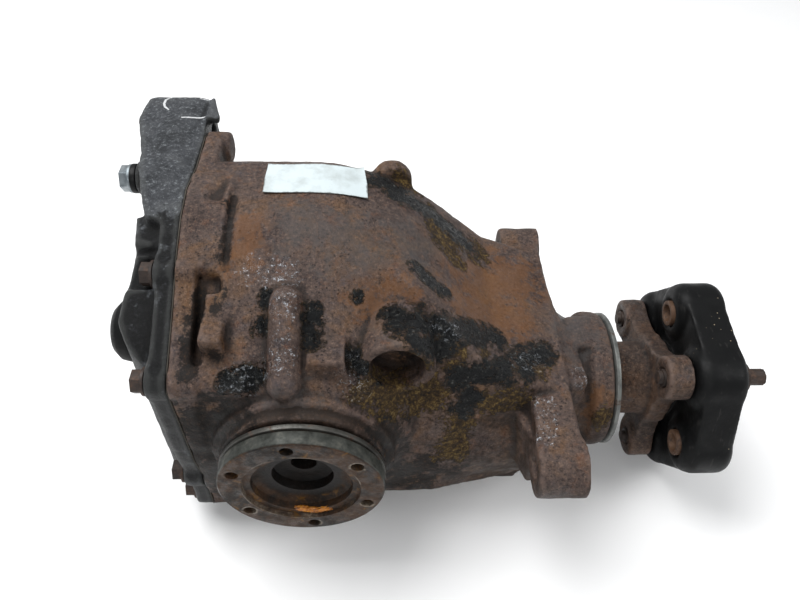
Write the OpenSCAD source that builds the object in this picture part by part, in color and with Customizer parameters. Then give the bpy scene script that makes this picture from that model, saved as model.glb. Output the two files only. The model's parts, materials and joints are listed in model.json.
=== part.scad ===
// Rear axle differential: cast housing and cover, crown wheel and pinion on taper
// rollers, bevel gear set, two flanged output shafts and a rubber disc coupling.
// Origin: where the output shafts' axis meets the pinion's plane. +X runs forward to
// the propshaft, +Y to the crown wheel's side, +Z up. Millimetres.

/* [Output flanges] */
// Bolt circle of each output flange
output_pcd = 86; // [80:1:90]
// Bolt holes in each output flange
output_bolts = 6; // [4:1:8]
// Outside diameter of each output flange
output_d = 101; // [98:1:103]
// Distance of each output flange's face from the centre
output_face = 106.7; // [105:0.1:110]

/* [Propshaft coupling] */
// Bolt circle of the rubber coupling
coupling_pcd = 105; // [100:1:108]
// Bore of the coupling's steel sleeves
sleeve_bore = 12.2; // [11:0.1:12.6]
// Thickness of the rubber coupling
coupling_t = 34.4; // [30:0.1:38]
// Where the input flange's arms meet the coupling
coupling_face = 253.6; // [250:0.1:256]

/* [Gears] */
// Teeth on the crown wheel
crown_teeth = 39; // [39:1:39]
// Teeth on the pinion
pinion_teeth = 14; // [14:1:14]
// How far the pinion's axis lies below the output axis
pinion_drop = 30; // [30:1:30]
// Teeth on each side gear
side_teeth = 16; // [16:2:16]
// Teeth on each spider gear
spider_teeth = 10; // [10:1:10]
// Module of the side and spider gears
bevel_module = 4.2; // [4:0.1:4.2]

/* [Housing] */
// Radius of the crown wheel chamber outside
chamber_r = 112; // [112:1:114]
// Radius of the crown wheel chamber inside
chamber_bore_r = 101.5; // [99:0.5:102]
// Where the rear cover joins the housing
joint_x = -72; // [-74:1:-71]
// Distance of the two front mounting ears from the middle
ear_y = 98; // [94:1:100]
// Height of the two front mounting ears
ear_z = 8; // [4:1:12]

/* [Hidden] */
$fn = 64;

fit = 0.04;            // radial clearance of a running fit
gap = 0.3;             // clearance between parts of two bodies
pinion_z = -pinion_drop;
ratio = crown_teeth / pinion_teeth;

// Crown wheel and pinion: both pitch surfaces follow the crown wheel's radius
crown_in = 66;         // inner end of the teeth
crown_mid = 80;
crown_out = 94;        // outer end of the teeth
crown_back = 50;       // y of the crown wheel's back face
crown_gap_w = 7.4;     // width of a tooth gap at the pitch surface
crown_add = 2.5;       // tooth height above the pitch surface
crown_ded = 5.6;       // tooth depth below the pitch surface
pinion_tooth_w = 4.3;
pinion_add = 4.5;
pinion_ded = 3.6;
flank = 20;            // flank angle of every tooth
function axis_turn(x) = atan2(pinion_z, x);
function along(r) = sqrt(r * r - pinion_drop * pinion_drop);
function pinion_r(r) = r / ratio / cos(asin(pinion_drop / r));
crown_slope = (pinion_r(crown_out) - pinion_r(crown_in)) / (crown_out - crown_in);
crown_phase = axis_turn(along(crown_mid));

// Side and spider gears: pitch cones meet at the origin
side_r = side_teeth * bevel_module / 2;
spider_r = spider_teeth * bevel_module / 2;
cone_out = sqrt(side_r * side_r + spider_r * spider_r);
bevel_face_w = 12;
bevel_gap_w = 7.8;
bevel_add = 3.2;
bevel_ded = 4.2;

// Carrier and its bearings
case_r = 52;
case_bore_r = 44;
pin_r = 8;
journal_r = 22.5;
shaft_r = 16.2;
spline_r = 14;
cup_r = 37.5;
bearing_in = 64;
bearing_w = 18;
race_tilt = 14;

// Output flange, measured along its own axis from the centre
flange_rim_t = 9.7;
dust_in = 92.5;
dust_out = 96.5;
seal_r = 36;
seal_hub_r = 27;
boss_end = 90.5;
clip_r = 12.6;
clip_in = 17.2;
clip_out = 18.6;

// Pinion shaft stations
head_x = 96;
head_w = 20;
head_cup_r = 40;
head_bore_r = 18;
tail_x = 165;
tail_w = 18;
tail_cup_r = 32;
tail_bore_r = 15;
nose_end = 207;
nose_r = 49;
neck_r = 44;
input_seal_r = 33;
input_hub_r = 26.5;
input_spline_r = 14.5;
arm_t = 14.6;
arm_hole_r = 6.4;      // clearance over the coupling's bolts
arm_angles = [52, 172, 292];
free_angles = [112, 232, 352];

// Cover joint outline (y, z), its bolts and the two ears
joint_outline = [
    [112, 86], [115, 98], [110, 109], [98, 113.5], [65, 112.4], [36, 117], [14, 113], [-8, 104],
    [-24, 95], [-48, 82], [-70, 71], [-80, 62], [-78, -15], [-72, -46], [-73, -80], [-58, -94],
    [-26, -107], [6, -112], [78, -112], [98, -96], [104, -70], [98, -30], [98, 50]
];
cover_bolt_places = [
    [-14, 91.5], [-70, 60], [-66, -45], [-58, -82], [8, -100.5], [72, -100.5],
    [94, -62], [93, 8], [94, 62], [104, 101], [50, 105]
];
cover_bolt_r = 4;
cover_bolt_deep = 12.5; // how far the cover bolts reach into the housing
bolt_boss_r = 11;      // boss round each cover bolt
bolt_seat_t = 13.4;    // metal of the cover under each bolt's head
head_room_r = 9.5;     // room over each bolt's head
flange_t = 12;
gasket_t = 0.6;
cover_back = -112;

//---------------------------------------------------------------- helpers

module on_x() { rotate([0, 90, 0]) children(); }
module on_y() { rotate([-90, 0, 0]) children(); }
module on_pinion() { translate([0, 0, pinion_z]) on_x() children(); }
module both_ways(axis) {
    children();
    mirror(axis) children();
}

// Tube along Z from z0 to z1
module tube(outer_r, inner_r, z0, z1) {
    translate([0, 0, z0])
        difference() {
            cylinder(r = outer_r, h = z1 - z0);
            translate([0, 0, -1]) cylinder(r = inner_r, h = z1 - z0 + 2);
        }
}

module rod(r, z0, z1) {
    translate([0, 0, z0]) cylinder(r = r, h = z1 - z0);
}

// Plate of (x, z) outline between two y stations
module slab_y(outline, y0, y1) {
    translate([0, y1, 0]) rotate([90, 0, 0]) linear_extrude(y1 - y0) polygon(outline);
}

// Plate of (y, z) outline between two x stations
module slab_x(outline, x0, x1) {
    translate([x0, 0, 0]) rotate([90, 0, 90]) linear_extrude(x1 - x0) polygon(outline);
}

// Plate of (x, y) outline between two z stations
module slab_z(outline, z0, z1) {
    translate([0, 0, z0]) linear_extrude(z1 - z0) polygon(outline);
}

module hex(flats, h) {
    intersection_for(i = [0 : 2])
        rotate(i * 60) translate([-flats / 2, -flats, 0]) cube([flats, 2 * flats, h]);
}

// Places something on the pinion's bolt circle, angle measured from -Y towards +Z
module at_coupling(angle) {
    translate([0, -coupling_pcd / 2 * cos(angle), pinion_z + coupling_pcd / 2 * sin(angle)])
        on_x() children();
}

//---------------------------------------------------------------- taper roller bearings

// A bearing stands on Z from 0 to w, its thin end up. mid_r is the rollers' middle
// radius, roller_r their middle radius of section.
function roller_line(mid_r, w, z, tilt) = mid_r + (w / 2 - z) * tan(tilt);

module bearing_cone(bore_r, mid_r, roller_r, w) {
    lo = roller_line(mid_r, w, 0, race_tilt) - roller_r / cos(race_tilt) - 0.05;
    hi = roller_line(mid_r, w, w, race_tilt) - roller_r / cos(race_tilt) - 0.05;
    slope = (hi - lo) / w;
    rotate_extrude()
        polygon([
            [bore_r, 0], [lo + 2.4, 0], [lo + 2.4, 1.8], [lo + slope * 1.8, 1.8],
            [hi - slope * 1.2, w - 1.2], [hi + 0.6, w - 1.2], [hi + 0.6, w], [bore_r, w]
        ]);
}

module bearing_cup(cup_outer_r, mid_r, roller_r, w) {
    lo = roller_line(mid_r, w, 0.6, race_tilt) + roller_r / cos(race_tilt) + 0.05;
    hi = roller_line(mid_r, w, w, race_tilt) + roller_r / cos(race_tilt) + 0.05;
    rotate_extrude()
        polygon([[cup_outer_r, 0.6], [lo, 0.6], [hi, w], [cup_outer_r, w]]);
}

module bearing_roller(mid_r, roller_r, w, grow = 0) {
    length = w - 3.6 - 2 * roller_r * sin(race_tilt) + 2 * grow;
    thick = roller_r + 0.25 + grow;
    thin = roller_r - 0.25 + grow;
    translate([mid_r, 0, w / 2])
        rotate([0, -race_tilt, 0])
            cylinder(r1 = thick, r2 = thin, h = length, center = true, $fn = 24);
}

module bearing_rollers(mid_r, roller_r, w, count) {
    for (i = [0 : count - 1])
        rotate((i + 0.5) * 360 / count) bearing_roller(mid_r, roller_r - 0.3, w);
}

module bearing_cage(mid_r, roller_r, w, count) {
    half = 0.7;
    lo = roller_line(mid_r, w, 2.1, race_tilt);
    hi = roller_line(mid_r, w, w - 1.6, race_tilt);
    difference() {
        rotate_extrude()
            polygon([[lo - half, 2.1], [lo + half, 2.1], [hi + half, w - 1.6], [hi - half, w - 1.6]]);
        for (i = [0 : count - 1])
            rotate((i + 0.5) * 360 / count) bearing_roller(mid_r, roller_r - 0.3, w, 0.2);
    }
}

carrier_mid_r = 30.2;
carrier_roller_r = 3.4;
carrier_rollers = 20;
head_mid_r = 29;
head_roller_r = 4.6;
head_rollers = 15;
tail_mid_r = 23.6;
tail_roller_r = 3.5;
tail_rollers = 15;

// The thin end of each bearing's cone faces outwards
module at_left_bearing() { on_y() translate([0, 0, bearing_in]) children(); }
module at_right_bearing() { mirror([0, 1, 0]) at_left_bearing() children(); }
module at_head_bearing() { on_pinion() translate([0, 0, head_x]) children(); }
module at_tail_bearing() {
    on_pinion() translate([0, 0, tail_x + tail_w]) mirror([0, 0, 1]) children();
}

//---------------------------------------------------------------- housing

// Chamber section, radius by y, the crown wheel at +Y
chamber_profile = [
    [0, -77], [58, -77], [66, -70], [80, -48], [93, -24], [102, -8], [110, 12],
    [chamber_r, 24], [chamber_r, 70], [105, 82], [94, 87], [0, 87]
];
chamber_hollow = [
    [0, -60], [52, -60], [60, -54], [70, -40], [82, -22], [91, -6],
    [chamber_bore_r, 16], [chamber_bore_r, 72], [94, 79], [0, 79]
];

// Revolved in front of the output axis, carried straight back to the joint behind it
module chamber(profile, back_x) {
    on_y() rotate([0, 0, -90]) rotate_extrude(angle = 180, $fn = 128) polygon(profile);
    both_sides = concat(
        [for (p = profile) [p[1], p[0]]],
        [for (i = [len(profile) - 1 : -1 : 0]) [profile[i][1], -profile[i][0]]]
    );
    slab_x(both_sides, back_x, 0);
}

// Sloping hood between the chamber and the pinion's nose
module hood() {
    intersection() {
        slab_y([
            [30, -70], [30, 104], [66, 90], [122, 42], [142, 35], [172, 22], [190, 13], [190, -70]
        ], -74, 84);
        slab_z([
            [30, -72], [84, -70], [140, -58], [186, -38], [182, -8], [172, 22], [166, 62],
            [158, 76], [66, 82], [30, 82]
        ], -70, 104);
        slab_x([
            [84, -70], [84, 62], [74, 104], [10, 104], [-16, 92], [-46, 62], [-72, -8],
            [-72, -70]
        ], 30, 190);
    }
}

// Barrel round the pinion, with its neck and collar
module barrel() {
    translate([0, 0, pinion_z]) on_x() rotate_extrude()
        polygon([
            [0, 60], [72, 60], [72, 100], [66, 140], [52, 172], [neck_r, 184], [neck_r, 191],
            [nose_r - 1, 193], [nose_r, 195], [nose_r, 204], [nose_r - 2, nose_end], [0, nose_end]
        ]);
}

module front_ear() {
    translate([141, ear_y, ear_z]) on_x() cylinder(r = 18, h = 30);
    slab_x([
        [0, 26], [ear_y, ear_z + 18], [ear_y + 8, ear_z - 14], [ear_y - 6, ear_z - 18],
        [50, -74], [0, -90]
    ], 143, 169);
    slab_z([[129, 40], [143, 84], [169, 84], [175, 40]], -34, 12);
}

// Two rails under the barrel; with the chamber's flat they are what it stands on
module foot_rails() {
    for (y = [-36, 26])
        slab_y([[40, -chamber_r], [152, -chamber_r], [168, -84], [168, -60], [40, -60]], y, y + 10);
    for (x = [70, 128])
        translate([x, -30, -100]) cube([8, 60, 40]);
}

module shoulder_rib() {
    // A thick round rib from the chamber's shoulder down to the shaft boss
    start = [-7, -35, 88.2];
    end = [-7, -75, 63.2];
    run = end - start;
    translate(start) sphere(r = 10, $fn = 32);
    translate(end) sphere(r = 10, $fn = 32);
    translate(start) rotate([acos(run[2] / norm(run)), 0, 0]) cylinder(r = 9.9, h = norm(run), $fn = 32);
}

filler_x = 58;
filler_z = 60;
filler_mouth = -63;
filler_bore_r = 16.5;
plateau_x = -46;       // front edge of the thick shoulder behind the joint
plateau_y = -17;       // its near end

// Shoulder that thickens the joint along the roof, with a shallow three-sided mark
module joint_plateau() {
    difference() {
        slab_x([
            [plateau_y, 84], [plateau_y, 97.5], [-8, 102.8], [14, 111.8], [36, 115.6],
            [58, 112.9], [60, 100]
        ], joint_x + 10, plateau_x);
        slab_z([[-59, 30], [-49.5, 26], [-46.6, 52], [-50, 56]], 109.2, 120);
    }
}

// Walls the oil level recess off from the chamber
module filler_cup() {
    translate([filler_x, -60, filler_z]) on_y() cylinder(r = filler_bore_r + 3.1, h = 19.5);
}

module filler_recess() {
    translate([filler_x, filler_mouth - 1, filler_z]) on_y() cylinder(r = filler_bore_r, h = 18);
}

module housing_outside() {
    chamber(chamber_profile, joint_x + 1);
    hood();
    barrel();
    front_ear();
    mirror([0, 1, 0]) front_ear();
    foot_rails();
    shoulder_rib();
    // joint flange, with a boss round each bolt
    slab_x(joint_outline, joint_x, joint_x + flange_t);
    at_cover_bolts(joint_x) cylinder(r = bolt_boss_r, h = flange_t + 4, $fn = 32);
    translate([joint_x, -70, 60]) on_x() cylinder(r = 9, h = 44, $fn = 32);
    joint_plateau();
    // output shaft bosses
    on_y() rod(57, -84, -70);
    on_y() rod(51.5, -boss_end, -83);
    on_y() rod(57, 80, 88);
    on_y() rod(51.5, 87, boss_end);
    // oil level boss
    translate([filler_x, filler_mouth, filler_z]) on_y() cylinder(r = 23, h = 34);
    // cast pads on the near shoulder and far front edge
    translate([6, -70, 52]) cube([22, 26, 24]);
    translate([43.5, 76, 58]) cube([25, 12, 31]);
    translate([56, 76, 89.6]) on_y() cylinder(r = 14, h = 12);
    // raised pad across the neck, up against the collar
    translate([179, -10, -4]) cube([17, 28, 23.4]);
    translate([-55.4, -62, 64]) cube([14, 28, 22]);
    translate([-64, -66, -36]) cube([24, 10, 16]);
    // ribs across the far side and under the near side
    for (z = [-60, -20, 20, 60])
        translate([-66, 84, z - 3.5]) cube([92, 7, 7]);
    for (x = [-36, 4])
        translate([x, -77, -96]) cube([8, 60, 40]);
}

module housing_inside() {
    chamber(chamber_hollow, joint_x - 1);
    // bores of the output bearings and seals
    on_y() both_ways([0, 0, 1]) rod(cup_r, 50, bearing_in + bearing_w);
    on_y() both_ways([0, 0, 1]) rod(seal_r, 60, boss_end + 1);
    // stepped bore of the pinion
    on_pinion() rod(head_cup_r, 60, head_x + head_w);
    on_pinion() rod(head_cup_r + 1.5, 60, head_x - 1);
    on_pinion() rod(26, 60, tail_x + 2);
    on_pinion() rod(tail_cup_r, tail_x, 188);
    on_pinion() rod(input_seal_r, 187, nose_end + 1);
    // core between the two pinion bearings
    on_pinion() rotate_extrude()
        polygon([[0, 121], [34, 121], [46, 126], [46, 138], [34, 156], [28, 160], [0, 160]]);
    // front ears
    for (s = [-1, 1])
        translate([140, s * ear_y, ear_z]) on_x() cylinder(r = 6.1, h = 32);
    // tapped holes for the cover
    at_cover_bolts(joint_x - 1) cylinder(r = cover_bolt_r, h = cover_bolt_deep + 2, $fn = 32);
    // groove along the shoulder's front edge, and the pockets below its near end
    slab_x([[-18, 93.5], [-8, 99], [14, 107.2], [36, 109], [36, 125], [-18, 125]],
        plateau_x, plateau_x + 5.5);
    slab_x([[-28, 82.5], [plateau_y - 0.5, 89], [plateau_y - 0.5, 110], [-28, 110]],
        joint_x + flange_t, plateau_x);
    slab_x([[-66, 63], [-46, 71.5], [-26, 84], [-26, 110], [-66, 110]], joint_x + flange_t, -55);
    // drain hole through the chamber's floor
    translate([-30, 46, -chamber_r - 1]) cylinder(r = 9, h = 14);
    // breather hole through the far wall
    translate([breather_x, 75, breather_z]) on_y() cylinder(r = breather_r, h = 20, $fn = 32);
}

module housing() {
    color("#5b4238") difference() {
        union() {
            difference() {
                housing_outside();
                housing_inside();
            }
            filler_cup();
        }
        filler_recess();
        // flat foot
        translate([-200, -200, -chamber_r - 40]) cube([500, 400, 40]);
    }
}

//---------------------------------------------------------------- rear cover

arm_top = 118;
arm_bore_r = 7;
bush_y = -20;
bush_z = 48;
fill_y = 40;
fill_z = -64;
mount_y = 80;
mount_z = 92;
mount_bolt_r = 5;
cover_face = joint_x - gasket_t;
bolt_seat = cover_face - bolt_seat_t;

module at_bush(x) { translate([x, bush_y, bush_z]) on_x() children(); }
module at_fill(x) { translate([x, fill_y, fill_z]) on_x() children(); }
module at_mount(x) { translate([x, mount_y, mount_z]) on_x() children(); }
module at_cover_bolts(x) {
    for (p = cover_bolt_places)
        translate([x, p[0], p[1]]) on_x() children();
}

// The cover's dished shape, or its hollow when inset
module cover_body(inset) {
    i = inset;
    front = cover_face + (inset > 0 ? 2 : 0);
    intersection() {
        slab_y([
            [front, -103 + i], [-96, -101 + i], [-106 + i, -84 + i], [cover_back + i, -56],
            [cover_back + i, 58], [-103 + i, 88 - i], [-96, 103 - i], [front, 106 - i]
        ], -66 + i, 92 - i);
        slab_z([
            [front, -66 + i], [-88, -62 + i], [-100, -52 + i], [-108 + i, -36 + i],
            [cover_back + i, -16], [cover_back + i, 66], [-106 + i, 84 - i], [-94, 92 - i],
            [front, 92 - i]
        ], -106, 108);
        slab_x([
            [-66 + i, -70 + i], [-40, -97 + i], [8, -103 + i], [74, -103 + i], [92 - i, -86],
            [92 - i, 92], [74, 106 - i], [10, 106 - i], [-44, 76 - i], [-66 + i, 56]
        ], cover_back - 2, front);
    }
}

// Arm that carries the rear mounting. Its top runs down along the joint and falls a
// little towards it, and its far end reaches round the housing's corner.
module cover_arm() {
    // lip along the top that reaches over the joint, clear of the bore's flat seat
    slab_z([[-74, 116.4], [-64, 116.4], [-72, 143], [-74, 143]], 112, arm_top);
    intersection() {
        slab_y([
            [-130, 60], [-130, arm_top + 1], [-88, arm_top + 1], [-73.5, 114.4], [-70, 60]
        ], 0, 150);
        slab_z([
            [-73.5, 2], [-73.5, 143], [-76, 146], [-112, 147], [-119.5, 143], [-121.5, 117],
            [-115, 94], [-110, 76], [-108, 59], [-100.5, 34], [-94.5, 15], [-84.6, 11], [-84.6, 2]
        ], 60, arm_top + 2);
        slab_x([
            [2, 84], [60, 76], [98, 74], [132, 78], [147, 86], [147, arm_top - 3],
            [143, arm_top], [37, arm_top], [14, 113.8], [2, 109]
        ], -124, -70);
    }
}

module cover_outside() {
    slab_x(joint_outline, cover_face - 11.4, cover_face);
    cover_body(0);
    cover_arm();
    at_cover_bolts(bolt_seat) cylinder(r = bolt_boss_r, h = bolt_seat_t, $fn = 32);
    // boss for the bush at the back
    at_bush(-106) cylinder(r = 21, h = 24);
    translate([-105.6, bush_y - 5, bush_z]) cube([20, 10, 27]);
    // block on the roof beside the arm
    slab_z([[-99.5, -1], [-104.5, 26], [-86, 26], [-86, -1]], 84, 103.6);
    // cooling fins
    for (y = [12, 30, 48, 66])
        slab_y([[-100, -98], [-117, -78], [-119, -20], [-119, 30], [-112, 44], [-100, 44]], y, y + 5);
    // bosses of the filler plug and of the mounting bolt
    at_fill(-117) cylinder(r = 17, h = 20);
    at_mount(-118) cylinder(r = 12, h = 16);
}

// Metal left in the cover's hollow round the bush, the mounting bolt and the bolt heads
module cover_stock() {
    at_bush(-120) cylinder(r = 17, h = 26);
    at_mount(-120) cylinder(r = 11, h = 30);
    at_cover_bolts(-120) cylinder(r = head_room_r + 3, h = 60, $fn = 32);
}

module rear_cover() {
    color("#3a3a38") difference() {
        cover_outside();
        difference() {
            cover_body(6);
            cover_stock();
        }
        at_cover_bolts(-100) cylinder(r = cover_bolt_r + 0.5, h = 40, $fn = 32);
        at_cover_bolts(-132) cylinder(r = head_room_r, h = 132 + bolt_seat, $fn = 32);
        at_fill(-120) cylinder(r = 11, h = 26);
        at_fill(-130) cylinder(r = 16, h = 13);
        at_bush(-120) cylinder(r = 12, h = 24);
        at_bush(-130) cylinder(r = 21.5, h = 24);
        at_mount(-140) cylinder(r = mount_bolt_r, h = 46);
        // mounting bore through the arm
        translate([-130, 128, 98]) on_x() cylinder(r = arm_bore_r, h = 70);
        // groove below the block
        translate([-116, -4.5, 94]) cube([30, 3.5, 20]);
    }
}

module cover_gasket() {
    color("#77746c") difference() {
        slab_x(joint_outline, joint_x - gasket_t, joint_x);
        chamber(chamber_hollow, joint_x - 2);
        at_cover_bolts(joint_x - 2) cylinder(r = cover_bolt_r, h = 4, $fn = 32);
    }
}

module cover_bolts() {
    color("#5a4a42") at_cover_bolts(0) {
        rod(8.6, bolt_seat - 1.8, bolt_seat);
        translate([0, 0, bolt_seat - 8]) hex(13, 6.3);
        rod(cover_bolt_r - fit, bolt_seat - 0.1, joint_x + cover_bolt_deep);
    }
}

spacer_end = -121.9;
module mounting_bolt() {
    color("#c9ccc8") at_mount(0) {
        translate([0, 0, spacer_end - 7.4]) hex(16, 5.6);
        rod(9.8, spacer_end - 1.9, spacer_end);
        rod(mount_bolt_r, spacer_end - 0.2, -98);
    }
}

module bolt_spacer() { color("#1b1b1b") at_mount(0) tube(10.2, mount_bolt_r, spacer_end, -118); }

module rear_bush_cap() {
    color("#202020") at_bush(0) mirror([0, 0, 1]) rotate_extrude()
        polygon([
            [0, 97], [12, 97], [12, 106], [20, 106], [20.5, 108], [19, 114], [15, 118],
            [8, 120.4], [0, 121]
        ]);
}

// Filler plug, its head towards -X
module fill_plug() {
    seat = -118.5;
    deep = 16;
    color("#6b6258") at_fill(0) {
        rotate_extrude()
            polygon([
                [0, seat - 3], [13, seat - 3], [14, seat - 2], [14, seat], [11, seat],
                [11, seat + deep - 1], [10, seat + deep], [0, seat + deep]
            ]);
        translate([0, 0, seat - 8]) hex(17, 5.2);
    }
}

module fill_plug_seal() { color("#b5763c") at_fill(0) tube(14.5, 11, -118.5, -117); }

module drain_plug() {
    color("#6b6258") translate([-30, 46, -chamber_r + 3]) difference() {
        rod(9, -1, 9);
        translate([0, 0, -2]) hex(8, 6);
    }
}

module drain_plug_seal() {
    color("#b5763c") translate([-30, 46, 0]) tube(11.5, 9, -101.5, -100);
}

breather_x = -46;
breather_z = 76;
breather_r = 4;
far_wall = 87;         // y of the chamber's far side outside
module breather() {
    color("#2a2a2a") translate([breather_x, 0, breather_z]) on_y() {
        rod(breather_r - fit, far_wall - 9, far_wall);
        rotate_extrude()
            polygon([
                [0, far_wall], [7.5, far_wall], [7.5, far_wall + 3], [6.5, far_wall + 4.5],
                [0, far_wall + 5]
            ]);
    }
}

// Paper label laid over the top of the chamber
module label() {
    thick = 0.5;
    half = 16;
    flat = 26;
    color("#f2f5f3") translate([0, 53, 0]) {
        translate([-flat, -half, chamber_r + fit]) cube([flat, 2 * half, thick]);
        on_y() rotate([0, 0, -90]) rotate_extrude(angle = 20, $fn = 128)
            translate([chamber_r + fit, -half]) square([thick, 2 * half]);
    }
}

//---------------------------------------------------------------- seals and cups

module lip_seal(outer_r, lip_r, z0, z1) {
    rotate_extrude()
        polygon([[outer_r, z0], [outer_r, z1], [lip_r + 1.2, z1], [lip_r + fit, z1 - 1.5],
            [lip_r + fit, z0 + 2], [lip_r + 3, z0]]);
}

module left_shaft_seal() { color("#2b2622") on_y() lip_seal(seal_r, seal_hub_r, 83, 90); }
module right_shaft_seal() { mirror([0, 1, 0]) left_shaft_seal(); }
module pinion_seal() { color("#2b2622") on_pinion() lip_seal(input_seal_r, 22, 190, 200); }

module left_bearing_cup() {
    color("#8f9496") at_left_bearing() bearing_cup(cup_r, carrier_mid_r, carrier_roller_r, bearing_w);
}
module right_bearing_cup() { mirror([0, 1, 0]) left_bearing_cup(); }
module head_bearing_cup() {
    color("#8f9496") at_head_bearing() bearing_cup(head_cup_r, head_mid_r, head_roller_r, head_w);
}
module tail_bearing_cup() {
    color("#8f9496") at_tail_bearing() bearing_cup(tail_cup_r, tail_mid_r, tail_roller_r, tail_w);
}

//---------------------------------------------------------------- carrier

module diff_case() {
    color("#4a4d50") difference() {
        on_y() rotate_extrude()
            polygon([
                [0, -82], [journal_r, -82], [journal_r, -bearing_in], [28, -bearing_in], [30, -56],
                [40, -50], [case_r, -38], [case_r, 42], [60, 42], [60, crown_back],
                [80, crown_back], [80, 58], [44, 58], [28, bearing_in], [journal_r, bearing_in],
                [journal_r, 82], [0, 82]
            ]);
        // hollow for the bevel gears
        on_y() rotate_extrude()
            polygon([
                [0, -36.2], [38.6, -36.2], [case_bore_r, -26], [case_bore_r, 26], [38.6, 36.2],
                [0, 36.2]
            ]);
        // bores for the output shafts and the cross pin
        on_y() rod(shaft_r + gap, -83, 83);
        rod(pin_r, -60, 60);
        // two windows to put the gears in
        for (s = [-1, 1])
            translate([s * 46, 0, 0]) cube([30, 44, 50], center = true);
        // crown wheel bolts
        on_y() crown_bolt_places() rod(5, 48, 60);
        // roll pin that locks the cross pin
        translate([0, 0, 47]) on_y() rod(1.6, -60, -4);
    }
}

crown_bolt_count = 10;
module crown_bolt_places() {
    for (i = [0 : crown_bolt_count - 1])
        rotate((i + 0.5) * 360 / crown_bolt_count) translate([70, 0, 0]) children();
}

// Cutter for one crown wheel tooth gap, along +X
module crown_gap() {
    lean = atan(crown_slope);
    half = crown_gap_w / 2;
    translate([crown_mid, pinion_r(crown_mid), 0])
        rotate([0, 0, lean])
            translate([-22, 0, 0])
                rotate([90, 0, 90]) linear_extrude(44)
                    polygon([
                        [crown_ded, half - crown_ded * tan(flank)],
                        [crown_ded, -half + crown_ded * tan(flank)],
                        [-8, -half - 8 * tan(flank)], [-8, half + 8 * tan(flank)]
                    ]);
}

module crown_wheel() {
    face = function(r) pinion_r(crown_mid) + (r - crown_mid) * crown_slope;
    color("#7d8184") difference() {
        on_y() rotate_extrude($fn = 128)
            polygon([
                [60, 42], [60, crown_back], [crown_out - 4, crown_back], [crown_out, crown_back - 4],
                [crown_out, face(crown_out) - crown_add], [crown_in, face(crown_in) - crown_add]
            ]);
        for (i = [0 : crown_teeth - 1])
            rotate([0, -crown_phase + i * 360 / crown_teeth, 0]) crown_gap();
        on_y() crown_bolt_places() rod(5, 40.5, 51);
    }
}

module crown_bolts() {
    color("#3c3f42") on_y() crown_bolt_places() {
        rod(5, 41, 58.5);
        translate([0, 0, 58]) hex(14, 5.6);
    }
}

module cross_pin() {
    color("#9a9ea1") difference() {
        rod(pin_r, -51, 51);
        translate([0, 0, 47]) on_y() rod(1.6, -10, 10);
    }
}

module cross_pin_lock() { color("#6d7073") translate([0, 0, 47]) on_y() rod(1.6, -38, 7.6); }

module left_bearing_cone() {
    color("#8f9496") at_left_bearing()
        bearing_cone(journal_r, carrier_mid_r, carrier_roller_r, bearing_w);
}
module right_bearing_cone() { mirror([0, 1, 0]) left_bearing_cone(); }
module left_bearing_cage() {
    color("#9c8f6a") at_left_bearing()
        bearing_cage(carrier_mid_r, carrier_roller_r, bearing_w, carrier_rollers);
}
module right_bearing_cage() { mirror([0, 1, 0]) left_bearing_cage(); }
module left_bearing_rollers() {
    color("#b6babd") at_left_bearing()
        bearing_rollers(carrier_mid_r, carrier_roller_r, bearing_w, carrier_rollers);
}
module right_bearing_rollers() { mirror([0, 1, 0]) left_bearing_rollers(); }
module head_bearing_cage() {
    color("#9c8f6a") at_head_bearing() bearing_cage(head_mid_r, head_roller_r, head_w, head_rollers);
}
module head_bearing_rollers() {
    color("#b6babd") at_head_bearing() bearing_rollers(head_mid_r, head_roller_r, head_w, head_rollers);
}
module tail_bearing_cage() {
    color("#9c8f6a") at_tail_bearing() bearing_cage(tail_mid_r, tail_roller_r, tail_w, tail_rollers);
}
module tail_bearing_rollers() {
    color("#b6babd") at_tail_bearing() bearing_rollers(tail_mid_r, tail_roller_r, tail_w, tail_rollers);
}

//---------------------------------------------------------------- bevel gears

// Straight bevel gear about +Z, apex at the origin. pitch_r is its pitch radius at the
// outer end, other_r its mate's, which is also how far out along Z that end is.
module bevel_gear(pitch_r, other_r, teeth, back, hub_r, bore_r, phase) {
    cone = atan2(pitch_r, other_r);
    half = bevel_gap_w / 2;
    cone_in = cone_out - bevel_face_w;
    // a point at a distance along the pitch cone and a height off it
    function place(run, rise) = [run * sin(cone) + rise * cos(cone), run * cos(cone) - rise * sin(cone)];
    difference() {
        rotate_extrude()
            polygon([
                [bore_r, place(cone_in, -bevel_ded - 1)[1]], place(cone_in, -bevel_ded - 1),
                place(cone_in, bevel_add), place(cone_out, bevel_add), place(cone_out, -bevel_ded - 1),
                [hub_r, back], [bore_r, back]
            ]);
        for (i = [0 : teeth - 1])
            rotate(phase + i * 360 / teeth)
                rotate([0, cone, 0])
                    translate([0, 0, cone_in - 6])
                        linear_extrude(bevel_face_w + 12)
                            polygon([
                                [-bevel_ded, half - bevel_ded * tan(flank)],
                                [-bevel_ded, -half + bevel_ded * tan(flank)],
                                [8, -half - 8 * tan(flank)], [8, half + 8 * tan(flank)]
                            ]);
    }
}

module side_gear() {
    bevel_gear(side_r, spider_r, side_teeth, 33.8, 25, spline_r, 0);
}

module spider_gear() {
    bevel_gear(spider_r, side_r, spider_teeth, 39.8, 14, pin_r + fit, 90 + 180 / spider_teeth);
}

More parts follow.
